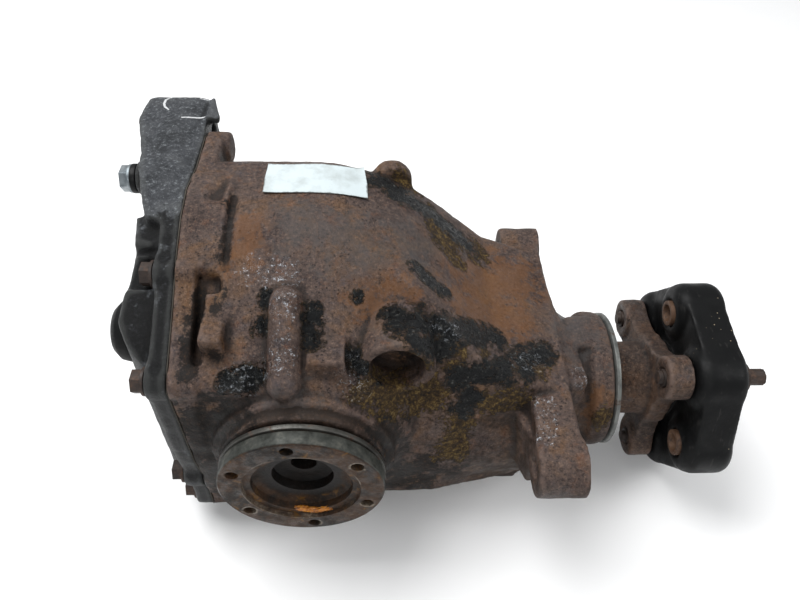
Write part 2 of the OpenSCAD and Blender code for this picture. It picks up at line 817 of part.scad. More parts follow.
module left_side_gear() { color("#7d8184") on_y() side_gear(); }
module right_side_gear() { mirror([0, 1, 0]) left_side_gear(); }
module left_thrust_washer() { color("#a98d54") on_y() tube(25, 17, 33.9, 36.1); }
module right_thrust_washer() { mirror([0, 1, 0]) left_thrust_washer(); }
module spider_gear_top() { color("#7d8184") spider_gear(); }
module spider_gear_bottom() { mirror([0, 0, 1]) spider_gear_top(); }
module spider_washer_top() { color("#a98d54") tube(13.5, pin_r + gap, 39.9, 41.3); }
module spider_washer_bottom() { mirror([0, 0, 1]) spider_washer_top(); }

//---------------------------------------------------------------- output flanges

// Turn of the first bolt hole about the output axis
output_phase = 53.6;
module output_flange() {
    back = output_face - flange_rim_t;
    out_r = output_d / 2;
    difference() {
        on_y() rotate_extrude()
            polygon([
                [0, 15.5], [12.5, 15.5], [spline_r, 17], [spline_r, 36.2], [shaft_r, 36.2],
                [shaft_r, 83], [seal_hub_r, 84], [seal_hub_r, 91], [34, 91], [34, back],
                [out_r - 1, back], [out_r, back + 1], [out_r, output_face - 1],
                [out_r - 1, output_face], [36, output_face], [36, output_face - 3],
                [31, output_face - 3], [31, 99], [27, 96.5], [19, 96.5], [19, 90], [14, 88],
                [8, 88], [8, 80], [0, 80]
            ]);
        for (i = [0 : output_bolts - 1])
            rotate([0, output_phase + i * 360 / output_bolts, 0])
                translate([0, back - 2, -output_pcd / 2])
                    on_y() cylinder(r = 4, h = flange_rim_t + 4, $fn = 32);
        // groove for the circlip
        on_y() tube(20, clip_r, clip_in, clip_out);
    }
}

module left_output_flange() { color("#7a726a") output_flange(); }
module right_output_flange() { color("#7a726a") mirror([0, 1, 0]) output_flange(); }

module left_circlip() {
    color("#55585a") on_y() difference() {
        tube(15.6, clip_r, clip_in, clip_out);
        translate([0, 14, clip_in]) cube([7, 8, 4], center = true);
    }
}
module right_circlip() { mirror([0, 1, 0]) left_circlip(); }

module left_dust_ring() {
    color("#5d5f5f") on_y() rotate_extrude()
        polygon([[34, dust_in], [49, dust_in], [51, dust_in + 1], [51, dust_out], [34, dust_out]]);
}
module right_dust_ring() { mirror([0, 1, 0]) left_dust_ring(); }

//---------------------------------------------------------------- pinion line

// One tooth, swept along the pinion so that it meets the crown wheel's radial gaps
tooth_steps = 6;
module pinion_tooth() {
    stations = [for (i = [0 : tooth_steps]) crown_in + (crown_out - crown_in) * i / tooth_steps];
    function corner(r, rise, side) =
        let (
            half = (pinion_tooth_w / 2 - rise * tan(flank)) / cos(asin(pinion_drop / r)),
            rad = pinion_r(r) + rise,
            turn = ratio * (crown_phase - axis_turn(along(r))) + side * half / rad * 180 / PI
        )
        [along(r), rad * cos(turn), rad * sin(turn)];
    points = [for (r = stations) each [
        corner(r, -pinion_ded - 3, 1), corner(r, -pinion_ded - 3, -1), corner(r, 0, -1),
        corner(r, pinion_add, -1), corner(r, pinion_add, 1), corner(r, 0, 1)
    ]];
    n = 6;
    faces = concat(
        [[for (k = [0 : n - 1]) k]],
        [[for (k = [n - 1 : -1 : 0]) tooth_steps * n + k]],
        [for (i = [0 : tooth_steps - 1]) for (k = [0 : n - 1])
            [i * n + k, (i + 1) * n + k, (i + 1) * n + (k + 1) % n]],
        [for (i = [0 : tooth_steps - 1]) for (k = [0 : n - 1])
            [i * n + k, (i + 1) * n + (k + 1) % n, i * n + (k + 1) % n]]
    );
    polyhedron(points, faces);
}

module pinion() {
    x_in = along(crown_in);
    x_out = along(crown_out);
    root_in = pinion_r(crown_in) - pinion_ded;
    root_out = pinion_r(crown_out) - pinion_ded;
    past = 1.5;        // how far the root cone runs past each end of the teeth
    step = past * (root_out - root_in) / (x_out - x_in);
    color("#7d8184") translate([0, 0, pinion_z]) {
        for (i = [0 : pinion_teeth - 1])
            rotate([i * 360 / pinion_teeth, 0, 0]) pinion_tooth();
        on_x() rotate_extrude()
            polygon([
                [0, x_in - past], [root_in - step, x_in - past], [root_out + step, x_out + past],
                [31, 92], [30, 94], [head_bore_r, 94], [head_bore_r, head_x + head_w],
                [16, head_x + head_w], [16, 163], [tail_bore_r, 163],
                [tail_bore_r, tail_x + tail_w], [input_spline_r, tail_x + tail_w],
                [input_spline_r, 237.5], [11, 238], [11, 259], [10, 260], [0, 260]
            ]);
    }
}

module pinion_shim() { color("#8f9496") on_pinion() tube(26, head_bore_r, 94, head_x); }
module head_bearing_cone() {
    color("#8f9496") at_head_bearing() bearing_cone(head_bore_r, head_mid_r, head_roller_r, head_w);
}
module tail_bearing_cone() {
    color("#8f9496") at_tail_bearing() bearing_cone(tail_bore_r, tail_mid_r, tail_roller_r, tail_w);
}

module crush_sleeve() {
    color("#a7a296") on_pinion() rotate_extrude()
        polygon([
            [16.4, 116], [19, 116], [19, 134], [22.4, 140], [19, 146], [19, tail_x], [16.4, tail_x],
            [16.4, 146], [19.6, 140], [16.4, 134]
        ]);
}

// Three-armed flange on the pinion's splines. Its web and arms stand back from the
// three machined pads that the coupling's sleeves are clamped to.
module input_flange() {
    back = coupling_face - arm_t;
    web_r = 33;
    pad_r = 15;
    arm = [
        [-26, 15], [-20, 25], [-16, 36], [-13.6, 50], [13.6, 50], [16, 36], [20, 25], [26, 15]
    ];
    pad_proud = 0.3;
    web_front = coupling_face - 2 * pad_proud;
    color("#55392d") difference() {
        union() {
            on_pinion() rotate_extrude()
                polygon([
                    [input_spline_r, 183], [19, 183], [22, 186], [22, 202], [24, 204], [24, 211],
                    [input_hub_r, 211], [input_hub_r, back + 1], [web_r, back + 1],
                    [web_r, web_front], [input_spline_r, web_front]
                ]);
            for (a = arm_angles) {
                at_coupling(a) rod(pad_r, coupling_face - 17, coupling_face);
                translate([0, 0, pinion_z]) rotate([90 - a, 0, 0])
                    slab_x(arm, back, coupling_face - pad_proud);
            }
        }
        // waists between the arms
        for (a = free_angles)
            at_coupling(a) rod(21, back - 2, coupling_face + 2);
        for (a = arm_angles)
            at_coupling(a) rod(arm_hole_r, back - 4, coupling_face + 2);
        // recess for the nut
        on_pinion() rod(22, 238, coupling_face + 1);
    }
}

module input_dust_ring() {
    color("#9b9b96") on_pinion() rotate_extrude()
        polygon([[24, 207.6], [46.5, 207.6], [48, 208.4], [48, 211], [24, 211]]);
}

module pinion_nut() {
    color("#6d7073") on_pinion() difference() {
        union() {
            translate([0, 0, 240.6]) hex(32, 11);
            rod(19, 238, 241);
        }
        rod(11, 230, 260);
    }
}

module coupling_disc() {
    front = coupling_face + 0.2;
    end = front + coupling_t;
    color("#1d1e1f") difference() {
        union() {
            on_pinion() tube(60, 25, front + 4, end - 4);
            for (a = concat(arm_angles, free_angles))
                at_coupling(a) rotate_extrude()
                    polygon([
                        [0, front], [13, front], [18, front + 1.8], [21.5, front + 7.8],
                        [21.5, end - 6], [18.5, end - 1.6], [13, end], [0, end]
                    ]);
            // belts of rubber that join each lobe to the next
            for (a = concat(arm_angles, free_angles))
                translate([0, 0, pinion_z]) rotate([60 - a, 0, 0])
                    slab_x([[-26, 34], [-26, 66], [26, 66], [26, 34]], front + 5, end - 2.8);
        }
        on_pinion() rod(25, coupling_face - 2, end + 2);
        for (a = concat(arm_angles, free_angles))
            at_coupling(a) rod(9, coupling_face - 2, end + 2);
    }
}

module coupling_sleeves() {
    end = coupling_face + 1.2 + coupling_t;
    color("#7a5237") {
        for (a = arm_angles) at_coupling(a) tube(9, arm_hole_r, coupling_face, end);
        for (a = free_angles) at_coupling(a) tube(9, sleeve_bore / 2, coupling_face - 1.2, end);
    }
}

module coupling_bolts() {
    seat = coupling_face + 1.2 + coupling_t;
    color("#4a3a33") for (a = arm_angles)
        at_coupling(a) {
            rod(4.4, coupling_face - 20.2, coupling_face - 17);
            rod(6, coupling_face - 17.5, seat);
            rod(10, seat, seat + 3);
            translate([0, 0, seat + 3]) {
                hex(10, 12.5);
                rotate(30) hex(10, 12.5);
            }
        }
}

//---------------------------------------------------------------- nodes

housing();
rear_cover();
cover_gasket();
cover_bolts();
mounting_bolt();
bolt_spacer();
rear_bush_cap();
fill_plug();
fill_plug_seal();
drain_plug();
drain_plug_seal();
breather();
label();
right_shaft_seal();
left_shaft_seal();
pinion_seal();
right_bearing_cup();
left_bearing_cup();
head_bearing_cup();
tail_bearing_cup();
diff_case();
crown_wheel();
crown_bolts();
cross_pin();
cross_pin_lock();
right_bearing_cone();
left_bearing_cone();
right_bearing_cage();
right_bearing_rollers();
left_bearing_cage();
left_bearing_rollers();
spider_gear_top();
spider_gear_bottom();
spider_washer_top();
spider_washer_bottom();
right_side_gear();
right_thrust_washer();
right_output_flange();
right_circlip();
right_dust_ring();
left_side_gear();
left_thrust_washer();
left_output_flange();
left_circlip();
left_dust_ring();
pinion();
pinion_shim();
head_bearing_cone();
tail_bearing_cone();
crush_sleeve();
head_bearing_cage();
head_bearing_rollers();
tail_bearing_cage();
tail_bearing_rollers();
input_flange();
input_dust_ring();
pinion_nut();
coupling_disc();
coupling_sleeves();
coupling_bolts();
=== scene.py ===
"""Looks of a used rear axle differential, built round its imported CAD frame.

The castings and the rubber coupling are remeshed from their CAD shapes and relaxed, so
that they get cast and moulded corners. Machined pieces keep their shape and get worn
edges. Lengths written as n * MM are in millimetres, everything else is in metres.
"""

import json
import math

import bmesh
import bpy
import numpy as np
from mathutils import Matrix, Vector, noise


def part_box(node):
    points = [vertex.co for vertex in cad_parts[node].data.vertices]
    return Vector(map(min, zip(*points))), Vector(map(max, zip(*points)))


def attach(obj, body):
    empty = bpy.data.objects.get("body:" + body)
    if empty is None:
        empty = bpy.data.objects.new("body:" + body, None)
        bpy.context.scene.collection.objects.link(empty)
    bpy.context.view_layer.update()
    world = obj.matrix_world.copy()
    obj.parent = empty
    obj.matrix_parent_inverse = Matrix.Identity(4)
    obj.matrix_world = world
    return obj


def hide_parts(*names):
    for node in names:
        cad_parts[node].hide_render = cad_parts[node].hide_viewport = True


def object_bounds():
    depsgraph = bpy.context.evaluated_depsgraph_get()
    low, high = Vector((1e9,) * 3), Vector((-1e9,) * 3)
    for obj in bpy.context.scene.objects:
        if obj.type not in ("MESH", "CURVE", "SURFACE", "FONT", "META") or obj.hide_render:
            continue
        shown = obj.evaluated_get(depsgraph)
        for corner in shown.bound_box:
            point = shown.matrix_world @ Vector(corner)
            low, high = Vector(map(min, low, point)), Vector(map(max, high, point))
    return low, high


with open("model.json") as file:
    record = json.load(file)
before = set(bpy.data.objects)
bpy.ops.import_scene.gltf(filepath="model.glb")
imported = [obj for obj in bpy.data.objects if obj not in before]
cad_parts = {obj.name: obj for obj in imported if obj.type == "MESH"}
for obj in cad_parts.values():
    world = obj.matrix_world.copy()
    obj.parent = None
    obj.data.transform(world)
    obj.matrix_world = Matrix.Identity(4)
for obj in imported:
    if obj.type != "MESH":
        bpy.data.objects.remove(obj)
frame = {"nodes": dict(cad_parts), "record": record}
cad_low, cad_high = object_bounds()

MM = 0.001
# The castings' uneven skin reaches less than this below the CAD's lowest point
CASTING_SKIN = 0.5 * MM
SLOT_OF = {part["node"]: part["material_slot"] for part in frame["record"]["subparts"]}
BODY_OF = {node: body for body, group in frame["record"]["behaviour"]["bodies"].items() for node in group}


# ---------------------------------------------------------------- camera, floor, lights

CAMERA_PLACE = Vector((51.0, -316.5, 385.0)) * MM
AZIMUTH = math.radians(-1.74)
ELEVATION = math.radians(46.29)
ROLL = math.radians(1.07)


def make_camera():
    back = Vector((
        math.sin(AZIMUTH) * math.cos(ELEVATION),
        -math.cos(AZIMUTH) * math.cos(ELEVATION),
        math.sin(ELEVATION),
    ))
    level = Vector((math.cos(AZIMUTH), math.sin(AZIMUTH), 0))
    upright = back.cross(level)
    right = math.cos(ROLL) * level + math.sin(ROLL) * upright
    up = back.cross(right)
    camera = bpy.data.objects.new("camera", bpy.data.cameras.new("camera"))
    camera.data.lens = 31.5
    camera.data.sensor_width = 36
    camera.data.clip_start = 0.01
    camera.matrix_world = Matrix.Translation(CAMERA_PLACE) @ Matrix((right, up, back)).transposed().to_4x4()
    bpy.context.scene.collection.objects.link(camera)
    bpy.context.scene.camera = camera


def make_light(name, place, size, power, tint=(1, 1, 1)):
    """A square soft light that faces the middle of the object."""
    light = bpy.data.lights.new(name, "AREA")
    light.size = size
    light.energy = power
    light.color = tint
    lamp = bpy.data.objects.new(name, light)
    lamp.location = place
    middle = (cad_low + cad_high) / 2
    lamp.rotation_euler = (middle - Vector(place)).to_track_quat("-Z", "Y").to_euler()
    bpy.context.scene.collection.objects.link(lamp)


def make_room():
    world = bpy.data.worlds.new("room")
    world.use_nodes = True
    backdrop = world.node_tree.nodes["Background"]
    backdrop.inputs["Color"].default_value = (0.97, 0.985, 1.0, 1)
    backdrop.inputs["Strength"].default_value = 0.55
    bpy.context.scene.world = world
    bpy.context.scene.view_settings.view_transform = "Standard"
    make_light("key", (-0.5, 0.25, 1.4), 1.0, 26)
    make_light("side", (1.1, -0.35, 1.0), 0.6, 6)
    make_light("front", (-0.3, -0.95, 0.75), 0.3, 2.2)

    half = 3.0
    corners = [(-half, -half, 0), (half, -half, 0), (half, half, 0), (-half, half, 0)]
    floor = bpy.data.meshes.new("floor")
    floor.from_pydata(corners, [], [(0, 1, 2, 3)])
    piece = bpy.data.objects.new("floor", floor)
    piece.location.z = cad_low.z - CASTING_SKIN
    bpy.context.scene.collection.objects.link(piece)
    paint = Shader("pale_floor")
    tone = paint.ramp(paint.noise(6), [(0.3, (0.90, 0.90, 0.90)), (0.7, (0.93, 0.93, 0.93))])
    paint.finish(tone, 0.75)
    floor.materials.append(paint.material)


# ---------------------------------------------------------------- material nodes


# How much brighter than its own colour a level surface looks under these lights
LIGHT_GAIN = 1.6


def rgb(red, green, blue):
    """How a surface looks under the lights, from 0 to 255, as its own linear colour."""
    return tuple((c / 255) ** 2.2 / LIGHT_GAIN for c in (red, green, blue))


class Shader:
    """One material's nodes. Patterns follow the piece's own coordinates, in metres."""

    def __init__(self, name):
        self.material = bpy.data.materials.new(name)
        self.material.use_nodes = True
        self.tree = self.material.node_tree
        self.surface = self.tree.nodes["Principled BSDF"]
        self.place = self.tree.nodes.new("ShaderNodeTexCoord").outputs["Object"]

    def set(self, socket, value):
        if isinstance(value, bpy.types.NodeSocket):
            self.tree.links.new(value, socket)
        elif isinstance(value, tuple) and socket.type == "RGBA":
            socket.default_value = (*value[:3], 1)
        else:
            socket.default_value = value

    def node(self, kind, inputs, output=0, **settings):
        node = self.tree.nodes.new(kind)
        for name, value in settings.items():
            setattr(node, name, value)
        for name, value in inputs.items():
            self.set(node.inputs[name], value)
        return node.outputs[output]

    def noise(self, scale, detail=4.0, roughness=0.55, place=None, warp=0.0):
        inputs = {"Vector": place or self.place, "Scale": scale, "Detail": detail,
                  "Roughness": roughness, "Distortion": warp}
        return self.node("ShaderNodeTexNoise", inputs)

    def cells(self, scale, place=None):
        return self.node("ShaderNodeTexVoronoi", {"Vector": place or self.place, "Scale": scale})

    def stretched(self, x, y, z):
        """The coordinates, scaled along each axis."""
        return self.node("ShaderNodeMapping", {"Vector": self.place, "Scale": (x, y, z)})

    def math(self, operation, a, b=0.0, c=0.0):
        return self.node("ShaderNodeMath", {0: a, 1: b, 2: c}, operation=operation)

    def uneven(self, name, fine, coarse):
        """A painted number with its edges broken up by a fine and a coarse noise."""
        painted = self.painted(name)
        spread = self.math("MULTIPLY_ADD", fine, 3.8, -1.9)
        spread = self.math("ADD", spread, self.math("MULTIPLY_ADD", coarse, 2.6, -1.3))
        return self.math("ADD", painted, self.math("MULTIPLY", spread, self.step(painted, 0.0, 0.25)))

    def step(self, value, low, high, to_low=0.0, to_high=1.0):
        """A smooth step: to_low where value is under low, to_high where it is over high."""
        inputs = {"Value": value, "From Min": low, "From Max": high, "To Min": to_low, "To Max": to_high}
        return self.node("ShaderNodeMapRange", inputs, interpolation_type="SMOOTHSTEP")

    def ramp(self, value, stops):
        node = self.tree.nodes.new("ShaderNodeValToRGB")
        ramp = node.color_ramp
        while len(ramp.elements) < len(stops):
            ramp.elements.new(0.5)
        for element, (place, colour) in zip(ramp.elements, stops):
            element.position = place
            element.color = (*colour, 1)
        self.set(node.inputs[0], value)
        return node.outputs[0]

    def mix(self, share, a, b):
        """Colour a where share is 0, b where it is 1."""
        return self.node("ShaderNodeMix", {0: share, 6: a, 7: b}, output=2, data_type="RGBA")

    def blend(self, share, a, b):
        """Number a where share is 0, b where it is 1."""
        return self.node("ShaderNodeMix", {0: share, 2: a, 3: b}, data_type="FLOAT")

    def painted(self, name):
        """A number that a piece's mesh holds at each of its points."""
        return self.node("ShaderNodeAttribute", {}, output="Fac", attribute_name=name)

    def radius_about(self, axis, centre=(0, 0, 0)):
        """Distance from a line through centre along X, Y or Z."""
        flat = tuple(0.0 if letter == axis else 1.0 for letter in "xyz")
        away = self.node("ShaderNodeVectorMath", {0: self.place, 1: tuple(centre)}, operation="SUBTRACT")
        across = self.node("ShaderNodeVectorMath", {0: away, 1: flat}, operation="MULTIPLY")
        return self.node("ShaderNodeVectorMath", {0: across}, output="Value", operation="LENGTH")

    def bump(self, height, depth, strength=1.0, under=None):
        inputs = {"Height": height, "Distance": depth, "Strength": strength}
        if under is not None:
            inputs["Normal"] = under
        return self.node("ShaderNodeBump", inputs)

    def finish(self, colour, roughness, metal=0.0, normal=None, specular=0.5):
        self.set(self.surface.inputs["Base Color"], colour)
        self.set(self.surface.inputs["Roughness"], roughness)
        self.set(self.surface.inputs["Metallic"], metal)
        self.surface.inputs["Specular IOR Level"].default_value = specular
        if normal is not None:
            self.set(self.surface.inputs["Normal"], normal)
        return self.material


# ---------------------------------------------------------------- materials


def rusty_casting(name, dark, middle, light, hollow_dirt_and_shade, wear=0.0):
    """Rusted grey iron: three shades, orange and grey blooms, pits, grains, and grit with painted shade
    darkening the hollows.
    """
    s = Shader(name)
    tone = s.ramp(s.noise(28, 8, 0.7, warp=0.5), [(0.32, dark), (0.49, middle), (0.66, light)])
    orange = s.step(s.noise(95, 7, 0.8, warp=0.4), 0.52, 0.68, 0.0, 0.5)
    tone = s.mix(orange, tone, rgb(122, 76, 44))
    cool = s.step(s.noise(62, 7, 0.75, s.stretched(1, 1.3, 1.1)), 0.52, 0.68, 0.0, 0.5)
    tone = s.mix(cool, tone, rgb(84, 82, 88))
    mottle = s.step(s.noise(190, 6, 0.85), 0.36, 0.48, 0.6, 0.0)
    tone = s.mix(mottle, tone, rgb(46, 35, 30))
    grain = s.noise(430, 6, 0.9)
    tone = s.mix(s.step(grain, 0.39, 0.48, 0.85, 0.0), tone, rgb(32, 25, 22))
    tone = s.mix(s.step(grain, 0.53, 0.62, 0.0, 0.6), tone, rgb(152, 126, 108))
    pits = s.step(s.cells(330), 0.10, 0.28, 1.0, 0.0)
    pits = s.math("MULTIPLY", pits, s.step(s.noise(60), 0.46, 0.6))
    tone = s.mix(s.math("MULTIPLY", pits, 0.75), tone, rgb(22, 17, 15))
    # hollows darkened as grit and painted shade
    corner = s.math("MULTIPLY", s.step(s.painted("hollow"), 0.05, 0.7), hollow_dirt_and_shade)
    tone = s.mix(corner, tone, rgb(26, 20, 17))
    if wear:
        edge = s.math("MULTIPLY", s.step(s.painted("ridge"), 0.25, 1.0), wear)
        edge = s.math("MULTIPLY", edge, s.step(s.noise(170, 4), 0.4, 0.6))
        tone = s.mix(edge, tone, rgb(128, 108, 98))
    rough = s.step(s.noise(45, 4), 0.35, 0.65, 0.45, 0.75)
    skin = s.bump(grain, 1.1 * MM, 0.7)
    skin = s.bump(s.noise(140, 4, 0.6), 1.8 * MM, 0.45, skin)
    skin = s.bump(s.math("MULTIPLY", pits, -1.0), 0.5 * MM, 0.6, skin)
    return s, tone, rough, skin


def housing_material():
    """Rusty casting with ochre rust, moss-coloured grit and patches of glossy tar, with painted glints, and
    painted shade low down and in recesses.
    """
    s, tone, rough, skin = rusty_casting(
        "rusty_cast_iron", rgb(64, 51, 48), rgb(94, 79, 73), rgb(114, 84, 58), 0.75, 0.5)
    ragged = s.noise(260, 8, 0.85)
    coarse = s.noise(75, 5, 0.7)

    def layer(name, shade, share, low=0.2, high=0.8):
        mask = s.step(s.uneven(name, s.noise(130, 7, 0.8), coarse), low, high, 0.0, share)
        return s.mix(mask, tone, shade)

    tone = layer("ochre", rgb(126, 84, 48), 0.55)
    tone = layer("grey", rgb(82, 79, 78), 0.5)
    # painted shade: darker on faces turned down and low on the casting, where light from above falls less;
    # also darker near the shaft ends
    shade_low_and_at_shaft_ends = s.step(s.uneven("shade_low_and_at_shaft_ends", ragged, coarse), 0.1, 0.9)
    tone = s.mix(s.math("MULTIPLY", shade_low_and_at_shaft_ends, 0.8), tone, rgb(46, 34, 25))
    speck = s.step(s.noise(380, 6, 0.9), 0.57, 0.68)
    tone = s.mix(s.math("MULTIPLY", speck, s.math("MULTIPLY", shade_low_and_at_shaft_ends, 0.7)), tone, rgb(122, 90, 58))
    # painted shade in recesses and in the gaps between parts: near black with brown flecks
    recess_shade_tone = s.ramp(s.noise(320, 7, 0.9), [
        (0.46, rgb(13, 10, 8)), (0.56, rgb(36, 27, 21)), (0.66, rgb(92, 68, 48))])
    tone = layer("recess_shade", recess_shade_tone, 0.93, 0.15, 0.5)

    tar_reach = s.uneven("tar", ragged, coarse)
    fringe = s.step(tar_reach, 0.20, 0.34, 0.0, 0.75)
    moss = s.math("MAXIMUM", fringe, s.step(s.uneven("moss", ragged, coarse), 0.34, 0.52))
    moss_tone = s.ramp(s.noise(300, 8, 0.95), [
        (0.40, rgb(22, 21, 18)), (0.47, rgb(58, 46, 32)), (0.52, rgb(98, 76, 44)), (0.57, rgb(152, 122, 66)),
        (0.64, rgb(204, 178, 122))])
    tone = s.mix(s.math("MULTIPLY", moss, 0.9), tone, moss_tone)
    rough = s.blend(moss, rough, 0.85)

    tar = s.step(tar_reach, 0.36, 0.42)
    # the ramp's pale top stops paint glints into the tar
    tar_tone_and_glints = s.ramp(s.noise(340, 7, 0.85), [
        (0.42, rgb(6, 8, 10)), (0.54, rgb(26, 30, 33)), (0.60, rgb(66, 64, 58)), (0.67, rgb(176, 178, 176))])
    tone = s.mix(tar, tone, tar_tone_and_glints)
    rough = s.blend(tar, rough, s.step(s.noise(260, 4), 0.42, 0.60, 0.2, 0.6))
    lumps = s.math("MULTIPLY", s.noise(300, 7, 0.85), s.math("MAXIMUM", tar, moss))
    skin = s.bump(lumps, 3.0 * MM, 1.0, skin)

    # glossy patches, and on them painted glints: bluish white specks that stand in for highlights
    wet_and_glints = s.step(s.uneven("wet_and_glints", ragged, coarse), 0.2, 0.5)
    rough = s.blend(wet_and_glints, rough, 0.2)
    painted_glints = s.math("MULTIPLY", wet_and_glints, s.step(s.noise(300, 7, 0.9), 0.56, 0.62))
    tone = s.mix(painted_glints, tone, rgb(222, 228, 236))
    return s.finish(tone, rough, normal=skin, specular=0.25)


def cover_material():
    """Dark sand cast cover, pale specks on the arm, blacker where oil has held grit, and blackened as
    painted shade on every face but the arm's level top.
    """
    s = Shader("dark_cover_casting")
    tone = s.ramp(s.noise(40, 6, 0.65, warp=0.4), [
        (0.35, rgb(58, 60, 63)), (0.52, rgb(76, 78, 82)), (0.7, rgb(94, 96, 98))])
    grain = s.noise(400, 7, 0.9)
    tone = s.mix(s.step(grain, 0.53, 0.63, 0.0, 0.75), tone, rgb(168, 174, 178))
    tone = s.mix(s.step(grain, 0.36, 0.47, 0.75, 0.0), tone, rgb(30, 32, 33))
    chips = s.step(s.noise(230, 7, 0.9), 0.62, 0.67)
    tone = s.mix(s.math("MULTIPLY", chips, 0.8), tone, rgb(206, 214, 216))
    # oil-blackened, and painted shade: every face but the arm's level top is blackened, the arm's sides too
    oily_and_shaded = s.step(s.uneven("oily_and_shaded", s.noise(150, 6, 0.75), s.noise(60, 4)), 0.2, 0.75)
    tone = s.mix(s.math("MULTIPLY", oily_and_shaded, 0.95), tone, rgb(11, 11, 12))
    dust = s.math("MULTIPLY", oily_and_shaded, s.step(s.noise(420, 7, 0.9), 0.55, 0.66, 0.0, 0.5))
    tone = s.mix(dust, tone, rgb(82, 84, 86))
    # hollows darkened near to black, as grit and painted shade
    tone = s.mix(s.step(s.painted("hollow"), 0.1, 0.9, 0.0, 0.7), tone, rgb(10, 10, 10))
    tone = s.mix(s.step(s.painted("ridge"), 0.3, 1.0, 0.0, 0.16), tone, rgb(130, 132, 130))
    rough = s.blend(oily_and_shaded, s.step(s.noise(60), 0.4, 0.6, 0.6, 0.8), 0.42)
    skin = s.bump(grain, 1.2 * MM, 0.8)
    skin = s.bump(s.noise(150, 3), 1.4 * MM, 0.4, skin)
    return s.finish(tone, rough, normal=skin, specular=0.2)


def forging_material():
    """Rust-brown forging, scaly, rubbed bright along its edges."""
    s, tone, rough, skin = rusty_casting(
        "rusty_forging", rgb(49, 40, 36), rgb(79, 65, 58), rgb(107, 83, 67), 0.5, 0.7)
    return s.finish(tone, rough, 0.1, skin, 0.3)


# The output flanges: bolt circle, outside of the face, step round the recess, and the
# angle of the first bolt hole from -Z towards +X
BOLT_CIRCLE_R = 43 * MM
FACE_R = 50.15 * MM
STEP_R = 36.1 * MM
HOLE_TURN = math.radians(-53.6)
HOLES = 6


def flange_material(side):
    """Turned flange: grey rim, rust on its face, a rubbed step and a dark centre."""
    s = Shader(f"worn_flange_steel_{side}")
    axes = {axis: s.node("ShaderNodeSeparateXYZ", {0: s.place}, output=axis) for axis in "XYZ"}
    depth = s.math("ABSOLUTE", axes["Y"])
    radius = s.radius_about("y")
    rust = s.ramp(s.noise(55, 6, 0.7, warp=0.7), [
        (0.34, rgb(24, 20, 17)), (0.46, rgb(46, 36, 29)), (0.58, rgb(76, 53, 35)), (0.72, rgb(58, 53, 49))])
    grain = s.noise(640, 5, 0.8)
    rust = s.mix(s.step(grain, 0.55, 0.68, 0.0, 0.5), rust, rgb(132, 108, 84))
    rust = s.mix(s.step(grain, 0.34, 0.46, 0.7, 0.0), rust, rgb(20, 17, 15))
    ochre = s.step(s.noise(110, 5, 0.75, warp=0.8), 0.58, 0.68)
    rust = s.mix(s.math("MULTIPLY", ochre, 0.6), rust, rgb(132, 92, 34))
    rim = s.ramp(s.noise(90, 6, 0.75), [
        (0.35, rgb(48, 50, 46)), (0.52, rgb(75, 77, 73)), (0.70, rgb(108, 107, 100))])
    edge = s.math("ADD", radius, s.math("MULTIPLY", s.noise(160), 0.6 * MM))
    on_rim = s.step(edge, FACE_R, FACE_R + 0.5 * MM)
    tone = s.mix(on_rim, rust, rim)
    cup = s.math("ADD", radius, s.math("MULTIPLY", s.noise(110, 4), 8 * MM))
    cup = s.step(cup, 27 * MM, 33 * MM, 1.0, 0.0)
    tone = s.mix(s.math("MULTIPLY", cup, 0.9), tone, rgb(17, 15, 14))

    # bared metal on the step round the recess, and burrs round the bolt holes
    ring = s.math("ABSOLUTE", s.math("SUBTRACT", radius, STEP_R))
    ring = s.step(ring, 0.25 * MM, 0.8 * MM, 1.0, 0.0)
    ring = s.math("MULTIPLY", ring, s.step(s.noise(45, 3), 0.42, 0.56))
    turn = s.math("ARCTAN2", axes["X"], s.math("MULTIPLY", axes["Z"], -1.0))
    turn = s.math("WRAP", s.math("SUBTRACT", turn, HOLE_TURN), math.pi / HOLES, -math.pi / HOLES)
    aside = s.math("MULTIPLY", radius, s.math("SINE", turn))
    outward = s.math("SUBTRACT", s.math("MULTIPLY", radius, s.math("COSINE", turn)), BOLT_CIRCLE_R)
    off = s.math("ADD", s.math("MULTIPLY", aside, aside), s.math("MULTIPLY", outward, outward))
    off = s.math("SQRT", off)
    off = s.math("ADD", off, s.math("MULTIPLY_ADD", s.noise(230, 5, 0.75), 3.2 * MM, -1.6 * MM))
    burr = s.step(off, 4.7 * MM, 5.7 * MM, 1.0, 0.0)
    burr = s.math("MULTIPLY", burr, s.step(s.noise(48, 3), 0.46, 0.56))
    bared = s.math("MULTIPLY", s.math("MAXIMUM", ring, burr), s.step(depth, 103.0 * MM, 104.0 * MM))
    bare_tone = s.ramp(grain, [(0.4, rgb(92, 82, 72)), (0.6, rgb(166, 152, 134))])
    tone = s.mix(s.math("MULTIPLY", bared, 0.8), tone, bare_tone)
    metal = s.blend(bared, s.step(on_rim, 0.0, 1.0, 0.08, 0.3), 0.45)
    rough = s.blend(cup, s.step(s.noise(130, 4), 0.35, 0.65, 0.40, 0.7), 0.36)
    rough = s.blend(bared, rough, 0.34)
    skin = s.bump(s.noise(420, 6, 0.8), 0.9 * MM, s.blend(on_rim, 0.7, 0.3))
    turned = s.node("ShaderNodeTexNoise", {"Vector": s.stretched(0.05, 12, 0.05), "Scale": 160.0})
    skin = s.bump(turned, 0.1 * MM, 0.3, skin)
    return s.finish(tone, rough, metal, skin, 0.25)


